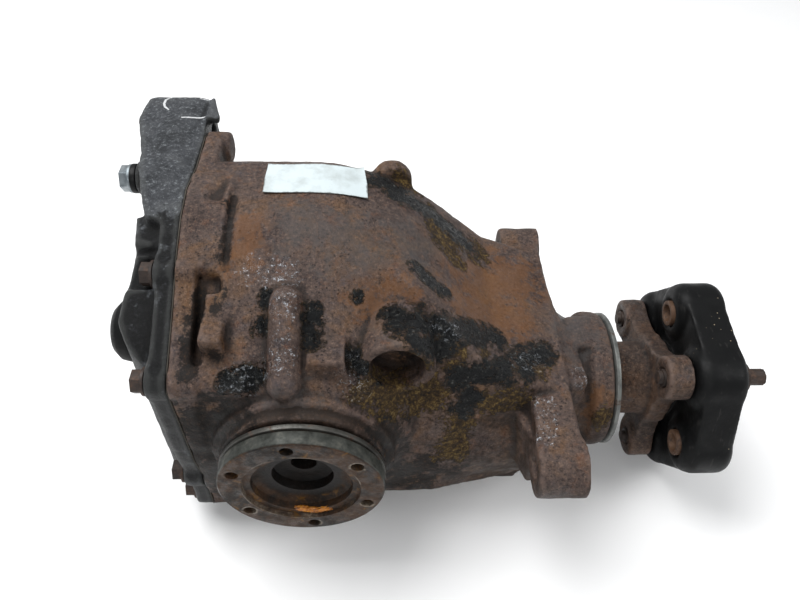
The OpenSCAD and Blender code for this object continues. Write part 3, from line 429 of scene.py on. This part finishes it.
def metal_material(name, shades, rough=(0.3, 0.5), metal=0.85, grain=300, rust=0.0, depth=0.12):
    """Bare metal in two shades, with rust where its noise is high."""
    s = Shader(name)
    tone = s.ramp(s.noise(70, 5, 0.65), [(0.35, shades[0]), (0.65, shades[1])])
    fine = s.noise(grain, 5, 0.72)
    tone = s.mix(s.step(fine, 0.32, 0.46, 0.35, 0.0), tone, tuple(c * 0.35 for c in shades[0]))
    spots = s.math("ADD", s.noise(130, 5, 0.7, warp=0.5), rust - 0.5)
    spots = s.step(spots, 0.45, 0.62)
    stain = s.ramp(s.noise(500, 4, 0.7), [(0.35, rgb(48, 37, 31)), (0.65, rgb(100, 76, 62))])
    tone = s.mix(spots, tone, stain)
    shine = s.blend(spots, s.step(s.noise(160, 4), 0.35, 0.65, *rough), 0.8)
    skin = s.bump(fine, depth * MM, 0.5)
    return s.finish(tone, shine, s.blend(spots, metal, 0.1), skin)


def rubber_material(name, tone, specks=0.3, rough=(0.45, 0.62)):
    """Black rubber with a dusty bloom, scuffs and pale specks of grit."""
    s = Shader(name)
    bloom = s.ramp(s.noise(34, 5, 0.62, warp=0.4), [(0.38, tone), (0.7, tuple(c * 1.8 for c in tone))])
    scuff = s.node("ShaderNodeTexNoise", {"Vector": s.stretched(3, 1, 0.6), "Scale": 160.0, "Detail": 5.0})
    bloom = s.mix(s.step(scuff, 0.60, 0.74, 0.0, 0.3), bloom, rgb(70, 68, 66))
    grit = s.step(s.cells(260), 0.05, 0.14, 1.0, 0.0)
    where = s.step(s.math("ADD", s.noise(38, 3), s.math("MULTIPLY", s.painted("grit"), 0.5)), 0.62, 0.72)
    grit = s.math("MULTIPLY", s.math("MULTIPLY", grit, where), specks)
    colour = s.mix(grit, bloom, rgb(176, 160, 132))
    skin = s.bump(s.noise(420, 4, 0.6), 0.3 * MM, 0.4)
    skin = s.bump(grit, 0.5 * MM, 0.6, skin)
    return s.finish(colour, s.step(s.noise(90, 4), 0.35, 0.65, *rough), normal=skin, specular=0.18)


def paper_material():
    """Bluish white label paper with smudges, and painted shade along its rim."""
    s = Shader("label_paper")
    tone = s.ramp(s.noise(60, 6, 0.65), [(0.32, rgb(200, 210, 210)), (0.55, rgb(228, 241, 244))])
    smudge = s.step(s.noise(120, 6, 0.8, warp=0.6), 0.58, 0.74, 0.0, 0.5)
    tone = s.mix(smudge, tone, rgb(142, 146, 138))
    # painted shade darkens the paper along its rim
    rim = s.math("ADD", s.painted("rim"), s.math("MULTIPLY_ADD", s.noise(150, 6, 0.8), 4.0, -2.0))
    tone = s.mix(s.step(rim, -1.0, 0.0, 0.0, 0.8), tone, rgb(74, 70, 62))
    skin = s.bump(s.noise(1500, 3, 0.7), 0.06 * MM, 0.4)
    skin = s.bump(s.noise(55, 2), 2.0 * MM, 0.4, skin)
    return s.finish(tone, 0.55, normal=skin)


def zinc_material():
    """Dulled zinc plate, faintly blue, gold on the washer."""
    s = Shader("zinc_plate")
    height = s.node("ShaderNodeSeparateXYZ", {0: s.place}, output="X")
    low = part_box("mounting_bolt")[0].x
    gold = s.step(height, low + 8.2 * MM, low + 9.2 * MM)
    gold = s.math("MULTIPLY", gold, s.step(s.noise(120), 0.35, 0.6, 0.3, 0.9))
    bright = s.ramp(s.noise(140, 4), [(0.35, rgb(132, 141, 146)), (0.65, rgb(188, 196, 200))])
    tone = s.mix(gold, bright, rgb(226, 200, 118))
    skin = s.bump(s.noise(400, 4, 0.7), 0.15 * MM, 0.4)
    return s.finish(tone, s.step(s.noise(180, 4), 0.35, 0.65, 0.3, 0.48), 0.85, skin)


def grease_material():
    s = Shader("orange_grease")
    tone = s.ramp(s.noise(260, 5, 0.7), [
        (0.34, rgb(104, 58, 12)), (0.5, rgb(198, 118, 14)), (0.68, rgb(236, 160, 34))])
    skin = s.bump(s.noise(420, 4, 0.65), 0.8 * MM, 0.6)
    return s.finish(tone, s.step(s.noise(300), 0.4, 0.6, 0.25, 0.5), normal=skin)


def chalk_material():
    s = Shader("white_marker_paint")
    tone = s.ramp(s.noise(900, 4, 0.75), [(0.36, rgb(120, 120, 118)), (0.46, rgb(226, 228, 230))])
    return s.finish(tone, 0.6, normal=s.bump(s.noise(700, 4), 0.2 * MM, 0.5))


MATERIALS = {
    "cast_iron_rusty": housing_material(),
    "cover_cast": cover_material(),
    "gasket": rubber_material("gasket_fibre", rgb(70, 66, 60), 0.2, (0.7, 0.85)),
    "rusty_fastener": metal_material(
        "rusty_bolt_steel", (rgb(38, 31, 28), rgb(70, 56, 49)), (0.5, 0.7), 0.3, 420, 0.47, 0.4),
    "zinc": zinc_material(),
    "black_plastic": rubber_material("black_plastic", rgb(20, 21, 22), 0.2, (0.35, 0.5)),
    "rubber_black": rubber_material("black_rubber", rgb(11, 12, 13), 1.0),
    "plug_steel": metal_material(
        "plug_steel", (rgb(74, 70, 66), rgb(108, 102, 95)), (0.4, 0.6), 0.5, 360, 0.42),
    "copper_seal": metal_material(
        "copper_washer", (rgb(186, 118, 76), rgb(226, 152, 104)), (0.35, 0.5), 0.9, 300, 0.30),
    "paper": paper_material(),
    "seal_rubber": rubber_material("seal_rubber", rgb(38, 34, 31), 0.3),
    "bearing_steel": metal_material(
        "bearing_steel", (rgb(190, 195, 198), rgb(222, 226, 228)), (0.14, 0.26), 1.0, 800, 0.20, 0.04),
    "cage_steel": metal_material(
        "bearing_cage_steel", (rgb(170, 160, 128), rgb(198, 188, 152)), (0.3, 0.45), 0.9, 500, 0.24),
    "carrier_iron": metal_material(
        "oiled_carrier_iron", (rgb(104, 106, 108), rgb(134, 136, 138)), (0.32, 0.5), 0.7, 320, 0.26, 0.3),
    "gear_steel": metal_material(
        "gear_steel", (rgb(164, 169, 173), rgb(202, 206, 208)), (0.2, 0.36), 1.0, 500, 0.22, 0.08),
    "dark_steel": metal_material(
        "blackened_steel", (rgb(58, 61, 64), rgb(84, 87, 90)), (0.35, 0.52), 0.8, 420, 0.30),
    "washer_bronze": metal_material(
        "washer_bronze", (rgb(206, 172, 104), rgb(236, 202, 130)), (0.28, 0.42), 1.0, 500, 0.18),
    "dust_ring_steel": metal_material(
        "dust_ring_steel", (rgb(64, 63, 60), rgb(98, 97, 92)), (0.35, 0.55), 0.5, 520, 0.42, 0.4),
    "rusty_forging": forging_material(),
    "rusty_sleeve": metal_material(
        "rusty_sleeve_steel", (rgb(92, 68, 52), rgb(122, 92, 70)), (0.45, 0.65), 0.35, 420, 0.48, 0.4),
}
PINION_STEEL = metal_material(
    "oiled_pinion_steel", (rgb(80, 74, 70), rgb(116, 108, 101)), (0.36, 0.54), 0.6, 400, 0.38, 0.25)
NOSE_RING = metal_material(
    "nose_ring_steel", (rgb(96, 98, 96), rgb(142, 144, 140)), (0.35, 0.55), 0.5, 380, 0.40, 0.4)
FLANGE_STEEL = {side: flange_material(side) for side in ("right", "left")}
GREASE = grease_material()
CHALK = chalk_material()


def material_for(node):
    """A node's material. A few nodes look different from the rest of their slot."""
    if node == "input_dust_ring":
        return NOSE_RING
    if node.startswith("pinion") and SLOT_OF[node] in ("gear_steel", "dark_steel"):
        return PINION_STEEL
    if SLOT_OF[node] == "flange_steel":
        return FLANGE_STEEL[node.split("_")[0]]
    return MATERIALS[SLOT_OF[node]]


def dress(piece, node, material=None):
    """Gives a new piece a CAD node's body, slot and material."""
    piece.data.materials.clear()
    piece.data.materials.append(material or material_for(node))
    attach(piece, BODY_OF[node])
    return piece


# ---------------------------------------------------------------- mesh tools


def new_piece(name, mesh):
    piece = bpy.data.objects.new(name, mesh)
    bpy.context.scene.collection.objects.link(piece)
    return piece


def copy_of(node, name):
    """A piece with a copy of a CAD node's mesh, its doubled points joined."""
    mesh = frame["nodes"][node].data.copy()
    mesh.name = name
    work = bmesh.new()
    work.from_mesh(mesh)
    bmesh.ops.remove_doubles(work, verts=work.verts, dist=0.002 * MM)
    work.to_mesh(mesh)
    work.free()
    if mesh.has_custom_normals:
        mesh.attributes.remove(mesh.attributes["custom_normal"])
    return new_piece(name, mesh)


def settle(piece):
    """Applies a piece's modifiers to its mesh."""
    shown = piece.evaluated_get(bpy.context.evaluated_depsgraph_get())
    mesh = bpy.data.meshes.new_from_object(shown)
    piece.modifiers.clear()
    mesh.name = piece.name
    piece.data = mesh


def places_of(mesh):
    places = np.zeros(len(mesh.vertices) * 3)
    mesh.vertices.foreach_get("co", places)
    return places.reshape(-1, 3)


def normals_of(mesh):
    normals = np.zeros(len(mesh.vertices) * 3)
    mesh.vertex_normals.foreach_get("vector", normals)
    return normals.reshape(-1, 3)


def move_to(mesh, places):
    mesh.vertices.foreach_set("co", places.ravel())
    mesh.update()


def neighbour_mean(mesh):
    """A function that averages any per-point values over each point's neighbours."""
    pairs = np.zeros(len(mesh.edges) * 2, dtype=np.int32)
    mesh.edges.foreach_get("vertices", pairs)
    pairs = pairs.reshape(-1, 2)
    near = np.concatenate([pairs[:, 0], pairs[:, 1]])
    far = np.concatenate([pairs[:, 1], pairs[:, 0]])
    count = len(mesh.vertices)
    share = np.maximum(np.bincount(near, minlength=count), 1)

    def mean(values):
        sums = [np.bincount(near, values[far, axis], count) for axis in range(values.shape[1])]
        return np.stack(sums, axis=1) / share[:, None]

    return mean


def smooth_step(values, low, high):
    share = np.clip((values - low) / (high - low), 0, 1)
    return share * share * (3 - 2 * share)


def relax(mesh, rounds, freedom):
    """Rounds a mesh's corners. freedom is each point's share, 0 where it stays put."""
    mean = neighbour_mean(mesh)
    places = places_of(mesh)
    for _ in range(rounds):
        places += freedom[:, None] * (mean(places) - places)
    move_to(mesh, places)


def store(mesh, name, values):
    attribute = mesh.attributes.new(name, "FLOAT", "POINT")
    attribute.data.foreach_set("value", values.astype(np.float32))


def mark_corners(mesh, scale):
    """Stores how far each point stands out of its surroundings, or lies below them."""
    mean = neighbour_mean(mesh)
    places = places_of(mesh)
    around = places
    for _ in range(3):
        around = mean(around)
    height = ((places - around) * normals_of(mesh)).sum(axis=1)[:, None]
    for _ in range(2):
        height = mean(height)
    store(mesh, "ridge", np.clip(height[:, 0] / scale, 0, 1))
    store(mesh, "hollow", np.clip(-height[:, 0] / scale, 0, 1))


def roughen(mesh, heights):
    """Moves points along their normals by noise. heights gives (wavelength, height) pairs."""
    normals = normals_of(mesh)
    places = places_of(mesh)
    lift = np.zeros(len(places))
    for wavelength, height in heights:
        lift += height * np.array([noise.noise(Vector(p) / wavelength) for p in places])
    move_to(mesh, places + normals * lift[:, None])


def near_streaks(places, streaks):
    """1 on the middle line of the nearest streak, 0 at its edge and beyond."""
    best = np.zeros(len(places))
    for start, end, radius in streaks:
        start, end = np.array(start) * MM, np.array(end) * MM
        run = end - start
        share = np.clip((places - start) @ run / max(run @ run, 1e-12), 0, 1)
        away = np.linalg.norm(places - start - share[:, None] * run, axis=1)
        best = np.maximum(best, 1 - away / (radius * MM))
    return best


def remeshed(node, name, voxel, rounds, machined=None, heights=(), corner=0.26 * MM):
    """A CAD casting or moulding with rounded corners and an uneven skin.

    machined takes the points and gives each one's distance from the nearest finished
    face, which stays as the CAD drew it.
    """
    piece = copy_of(node, name)
    grid = piece.modifiers.new("grid", "REMESH")
    grid.mode = "VOXEL"
    grid.voxel_size = voxel
    grid.use_smooth_shade = True
    settle(piece)
    places = places_of(piece.data)
    if machined is None:
        freedom = np.full(len(places), 0.5)
    else:
        freedom = 0.5 * smooth_step(machined(places), 0.8 * MM, 2.6 * MM)
    relax(piece.data, rounds, freedom)
    mark_corners(piece.data, corner)
    if heights:
        roughen(piece.data, heights)
    piece.data.shade_smooth()
    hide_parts(node)
    return dress(piece, node)


def softened(node, name, width, sharp=32):
    """A machined CAD piece with its sharp edges broken by a small bevel."""
    piece = copy_of(node, name)
    work = bmesh.new()
    work.from_mesh(piece.data)
    bmesh.ops.dissolve_limit(work, angle_limit=math.radians(0.6), verts=work.verts, edges=work.edges)
    work.to_mesh(piece.data)
    work.free()
    edge = piece.modifiers.new("edge", "BEVEL")
    edge.width = width
    edge.segments = 2
    edge.limit_method = "ANGLE"
    edge.angle_limit = math.radians(sharp)
    edge.use_clamp_overlap = True
    edge.harden_normals = False
    settle(piece)
    piece.data.shade_smooth()
    piece.data.set_sharp_from_angle(angle=math.radians(sharp))
    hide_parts(node)
    return dress(piece, node)


# ---------------------------------------------------------------- castings

# Streaks of tar, moss, rust, gloss with painted glints, and painted shade: start, end and reach in mm. Each
# shows to about half of its reach, where noise breaks its edge up.
TAR = [
    ((-19, -31, 89), (-19, -34, 87), 7),
    ((-21, -44, 81), (-21, -48, 79), 8),
    ((8, -40, 85), (9, -54, 77), 10),
    ((-36, -77, 66), (-24, -70, 65), 12),
    ((33, -58, 67), (37, -64, 62), 11),
    ((44, -53, 52), (46, -60, 48), 9),
    ((35, -28, 87), (35, -28, 87), 7),
    ((70, -5, 87), (88, -10, 72), 9),
    ((46, 66, 101), (62, 62, 94), 16),
    ((62, 62, 94), (91, 60, 69), 12),
    ((91, 60, 69), (112, 54, 51), 12),
    ((56, -40, 83), (66, -47, 81), 13),
    ((64, -45, 82), (90, -39, 70), 18),
    ((90, -39, 70), (120, -24, 45), 14),
    ((71, -58, 79), (84, -47, 60), 13),
    ((96, -54, 40), (106, -53, 42), 14),
    ((106, -53, 42), (126, -48, 41), 13),
    ((104, -58, 30), (99, -61, 20), 13),
    ((137, -36, 37), (156, -24, 29), 13),
    ((142, -45, 35), (137, -48, 36), 10),
]
MOSS = [
    ((50, -69, 44), (82, -59, 28), 22),
    ((110, -60, 25), (132, -59, 26), 16),
    ((99, -63, 17), (93, -71, -20), 16),
    ((84, 66, 76), (83, 53, 75), 10),
    ((88, 50, 71), (115, 54, 48), 18),
    ((88, 40, 71), (100, 30, 62), 13),
    ((43, -64, 55), (34, -73, 53), 13),
    ((68, -61, 76), (74, -60, 66), 10),
    ((87, -45, 64), (97, -47, 59), 11),
    ((90, -52, 48), (113, -42, 49), 8),
    ((134, -46, 37), (150, -42, 32), 12),
    ((201, -46, -12), (198, -48, -22), 10),
    ((60, 78, 96), (72, 76, 86), 11),
]
OCHRE = [
    ((110, 8, 53), (145, 38, 34), 46),
    ((104, -8, 60), (140, -2, 37), 34),
    ((40, -30, 88), (60, -20, 88), 22),
    ((-30, 10, 108), (-34, -10, 100), 20),
    ((193, -36, 8), (192, -48, -34), 9),
]
GREY = [
    ((60, -46, 78), (60, -46, 78), 24),
    ((72, 22, 84), (66, 8, 90), 26),
    ((0, 10, 110), (40, 0, 104), 34),
    ((0, -84, 46), (0, -84, -46), 34),
    ((182, 0, 16), (182, 0, 16), 44),
]
# Glossy patches and the painted glints on them
WET_AND_GLINTS = [
    ((-29, -17, 98), (-8, -19, 97), 13),
    ((-7, -38, 98), (-7, -43, 95), 13),
    ((-8, -62, 82), (-7, -69, 78), 13),
    ((-33, -77, 66), (-17, -69, 67), 15),
    ((30, -64, 62), (34, -70, 57), 14),
    ((84, -40, 73), (92, -38, 69), 11),
    ((137, -38, 37), (146, -36, 33), 11),
    ((150, -62, 26), (148, -88, 26), 9),
    ((179, -36, 18), (183, -41, 12), 11),
]
# Painted shade in recesses, in gaps between parts and low on the sides
RECESS_SHADE = [
    ((-59, -80, 34), (-63, -80, -40), 28),
    ((-44, -84, 40), (-50, -86, -40), 26),
    ((-60, -52, 80), (-60, -74, 70), 9),
    ((-60, -27, 84), (-60, -44, 82), 9),
    ((56, -84, 26), (50, -80, -14), 24),
    ((30, -86, -50), (80, -78, -40), 34),
    ((-46, 26, 110), (-46, -8, 100), 7),
    ((-46, -24, 88), (-46, -60, 74), 7),
    ((66, -46, 66), (64, -44, 50), 9),
]


def finished_faces(places):
    """Distance of each point from the housing's machined faces."""
    x, y, z = places.T
    pinion_z = -30 * MM
    about_pinion = np.hypot(y, z - pinion_z)
    about_axle = np.hypot(x, z)
    joint = np.abs(x + 72 * MM)
    ends = np.where(about_axle < 53 * MM, np.abs(np.abs(y) - 90.5 * MM), 1)
    nose = np.where(about_pinion < 51 * MM, np.abs(x - 207 * MM), 1)
    ears = np.where(np.abs(y) > 84 * MM, np.abs(x - 171 * MM), 1)
    foot = np.abs(z + 112 * MM)
    bore = np.where(np.abs(y) > 78 * MM, np.abs(about_axle - 36 * MM), 1)
    return np.minimum.reduce([joint, ends, nose, ears, foot, bore])


def parting_line(places):
    """Height of the mould's parting line, a low ridge along the nose."""
    x, y, z = places.T
    across = np.abs(y + 3 * MM - (x - 110 * MM) * -0.22)
    ridge = 0.55 * MM * np.clip(1 - across / (1.5 * MM), 0, 1)
    return ridge * smooth_step(x, 104 * MM, 112 * MM) * (1 - smooth_step(x, 176 * MM, 182 * MM)) * (z > 0)


def make_housing():
    piece = remeshed("housing", "housing_casting", 1.4 * MM, 9, finished_faces,
                     [(14 * MM, 0.40 * MM), (5 * MM, 0.22 * MM)])
    mesh = piece.data
    places = places_of(mesh)
    x, y, z = places.T
    in_filler = np.hypot(x - 58 * MM, z - 60 * MM) < 16.8 * MM
    tar = near_streaks(places, TAR) * ~(in_filler & (y > -62 * MM) & (y < -30 * MM))
    store(mesh, "tar", tar)
    # painted shade on faces turned down and low down, stored together with a darkening near the shaft ends
    turned_down = smooth_step(-normals_of(mesh)[:, 2], -0.6, 0.5)
    shaft_ends = 0.8 * smooth_step(np.abs(y), 78 * MM, 82 * MM) * (np.hypot(x, z) < 54 * MM)
    below = turned_down * (0.35 + 0.65 * smooth_step(-z, -70 * MM, -10 * MM))
    store(mesh, "shade_low_and_at_shaft_ends", np.maximum(below, shaft_ends))
    store(mesh, "moss", near_streaks(places, MOSS))
    store(mesh, "ochre", near_streaks(places, OCHRE))
    store(mesh, "grey", near_streaks(places, GREY))
    store(mesh, "wet_and_glints", near_streaks(places, WET_AND_GLINTS))
    store(mesh, "recess_shade", near_streaks(places, RECESS_SHADE))
    crust = np.array([noise.noise(Vector(p) / (3.2 * MM)) for p in places])
    lift = smooth_step(tar, 0.3, 0.6) * (0.25 + 0.35 * crust) * MM + parting_line(places)
    move_to(mesh, places + normals_of(mesh) * lift[:, None])


def cover_faces(places):
    """Distance of each point from the cover's joint face and the arm's front face."""
    x, y, _ = places.T
    joint = np.abs(x + 72.6 * MM)
    return np.minimum(joint, np.where(y > 112 * MM, np.abs(x + 73.5 * MM), 1))


def make_cover():
    piece = remeshed("rear_cover", "rear_cover_casting", 1.6 * MM, 5, cover_faces,
                     [(9 * MM, 0.25 * MM), (4 * MM, 0.2 * MM)])
    _, y, z = places_of(piece.data).T
    # the arm's level top stays light; every other face is blackened, partly as painted shade on the arm's
    # sides
    level = smooth_step(normals_of(piece.data)[:, 2], 0.4, 0.8)
    roof = level * smooth_step(z, 100 * MM, 108 * MM) * smooth_step(y, 4 * MM, 22 * MM)
    store(piece.data, "oily_and_shaded", 0.95 * (1 - roof))


def make_flange_and_rubber():
    remeshed("input_flange", "input_flange_forging", 1.1 * MM, 9,
             heights=[(6 * MM, 0.22 * MM), (3 * MM, 0.12 * MM)])
    rubber = remeshed("coupling_disc", "coupling_rubber", 1.4 * MM, 9, heights=[(16 * MM, 0.25 * MM)])
    gritty = [((283, 0, 26), (284, -16, 18), 26), ((276, -30, 6), (280, -40, -4), 18)]
    store(rubber.data, "grit", near_streaks(places_of(rubber.data), gritty))


# ---------------------------------------------------------------- machined pieces

# Width of the broken edge on each machined piece that shows, in mm
EDGES = {
    "right_output_flange": 0.5, "left_output_flange": 0.5,
    "right_dust_ring": 0.3, "left_dust_ring": 0.3, "input_dust_ring": 0.3,
    "cover_bolts": 0.35, "coupling_bolts": 0.3, "coupling_sleeves": 0.35,
    "mounting_bolt": 0.5, "bolt_spacer": 0.4, "rear_bush_cap": 0.5, "fill_plug": 0.4,
    "drain_plug": 0.3, "breather": 0.4, "pinion_nut": 0.5,
}


def make_machined():
    for node, width in EDGES.items():
        softened(node, f"{node}_worn", width * MM)
    for node, cad_piece in frame["nodes"].items():
        cad_piece.data.materials.clear()
        cad_piece.data.materials.append(material_for(node))


# ---------------------------------------------------------------- label, paint, grease


def sheet_mesh(name, columns, rows, point, thickness):
    """A closed sheet over a grid. point(u, v) gives a place and u, v run from 0 to 1."""
    mesh = bpy.data.meshes.new(name)
    grid = [point(i / columns, j / rows) for j in range(rows + 1) for i in range(columns + 1)]
    wide = columns + 1
    faces = [(j * wide + i, j * wide + i + 1, (j + 1) * wide + i + 1, (j + 1) * wide + i)
             for j in range(rows) for i in range(columns)]
    mesh.from_pydata(grid, [], faces)
    piece = new_piece(name, mesh)
    shell = piece.modifiers.new("shell", "SOLIDIFY")
    shell.thickness = thickness
    shell.offset = 1
    settle(piece)
    piece.data.shade_smooth()
    piece.data.set_sharp_from_angle(angle=math.radians(50))
    return piece


def make_label():
    """Paper label on the chamber's top, turned a little, its corners lifting."""
    _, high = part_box("label")
    middle = Vector((6.5, 53.5, 0)) * MM
    length, width = 66 * MM, 31 * MM
    turn = math.radians(2.5)
    drum = high.z - 0.5 * MM

    def point(u, v):
        along, across = (u - 0.5) * length, (v - 0.5) * width
        if v > 0.5:
            along *= 1 - 0.10 * (v - 0.5)
        x = middle.x + along * math.cos(turn) - across * math.sin(turn)
        y = middle.y + along * math.sin(turn) + across * math.cos(turn)
        bend = max(x, 0.0)
        top = math.sqrt(drum * drum - bend * bend)
        corner = max(0.0, abs(u - 0.5) + abs(v - 0.5) - 0.78)
        near_edge = max(0.0, 0.12 - v) * (0.6 + 0.4 * math.sin(9 * u))
        curl = 26 * corner * corner + 1.3 * max(0.0, u - 0.93) / 0.07 * v
        ripple = 0.12 * noise.noise(Vector((u * 7, v * 4, 0.5)))
        return (x, y, top + (0.15 + curl * 0.9 + near_edge * 6 + ripple) * MM)

    piece = sheet_mesh("label_paper", 44, 18, point, 0.22 * MM)
    offset = places_of(piece.data) - np.array(middle)
    along = offset[:, 0] * math.cos(turn) + offset[:, 1] * math.sin(turn)
    across = offset[:, 1] * math.cos(turn) - offset[:, 0] * math.sin(turn)
    store(piece.data, "rim", np.maximum(abs(along) - length / 2, abs(across) - width / 2) / MM)
    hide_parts("label")
    dress(piece, "label")


def make_stroke(name, route, width, under):
    """A brushed line of paint on top of a piece, along a few x, y points in mm."""
    route = [Vector(p) * MM for p in route]

    def point(u, v):
        spot = u * (len(route) - 1)
        step = min(int(spot), len(route) - 2)
        here = route[step].lerp(route[step + 1], spot - step)
        run = (route[step + 1] - route[step]).normalized()
        side = Vector((-run.y, run.x))
        taper = 0.35 + 0.65 * math.sin(math.pi * min(1, max(0, u * 0.9 + 0.1))) ** 0.5
        ragged = 1 + 0.7 * noise.noise(Vector((u * 14, v * 2, width * 900)))
        here = here + side * ((v - 0.5) * width * MM * taper * ragged)
        _, spot_below, _, _ = under.ray_cast(Vector((*here, 1)), Vector((0, 0, -1)))
        return (*here, spot_below.z + 0.05 * MM)

    piece = sheet_mesh(name, 24, 3, point, 0.2 * MM)
    dress(piece, "rear_cover", CHALK)


def make_strokes():
    arm = bpy.data.objects["rear_cover_casting"]
    curve = [(-103, 142.5), (-106.2, 138.6), (-106.5, 133.1), (-105.1, 129.1), (-101.4, 125.1)]
    make_stroke("paint_curve", curve, 1.7, arm)
    make_stroke("paint_line_far", [(-82.6, 141.8), (-78.5, 142), (-75, 142.1)], 1.1, arm)
    make_stroke("paint_line_near", [(-91, 115.4), (-84, 115.8), (-79, 117.4), (-75, 119)], 1.4, arm)


def make_lump(name, centre, size, node, seed, material):
    """A smeared lump: a flattened ball with an uneven skin. centre and size are in mm."""
    work = bmesh.new()
    bmesh.ops.create_icosphere(work, subdivisions=5, radius=1)
    for point in work.verts:
        way = point.co.normalized()
        swell = 1 + 0.35 * noise.noise(way * 2.2 + Vector((seed, 0, 0))) + 0.12 * noise.noise(way * 7)
        point.co = Vector(way[k] * size[k] * swell + centre[k] for k in range(3)) * MM
    mesh = bpy.data.meshes.new(name)
    work.to_mesh(mesh)
    work.free()
    mesh.shade_smooth()
    dress(new_piece(name, mesh), node, material)


def make_grease():
    lumps = [
        ((6, -103.2, -32), (8, 1.4, 2.6)),
        ((-3, -102.6, -31), (5, 1.6, 2.2)),
        ((13, -103.4, -30), (4, 1.2, 2)),
    ]
    for i, (centre, size) in enumerate(lumps):
        make_lump(f"grease_smear_{i}", centre, size, "right_output_flange", 3 * i, GREASE)


# ---------------------------------------------------------------- build

make_camera()
make_room()
make_housing()
make_cover()
make_flange_and_rubber()
make_machined()
make_label()
make_strokes()
make_grease()
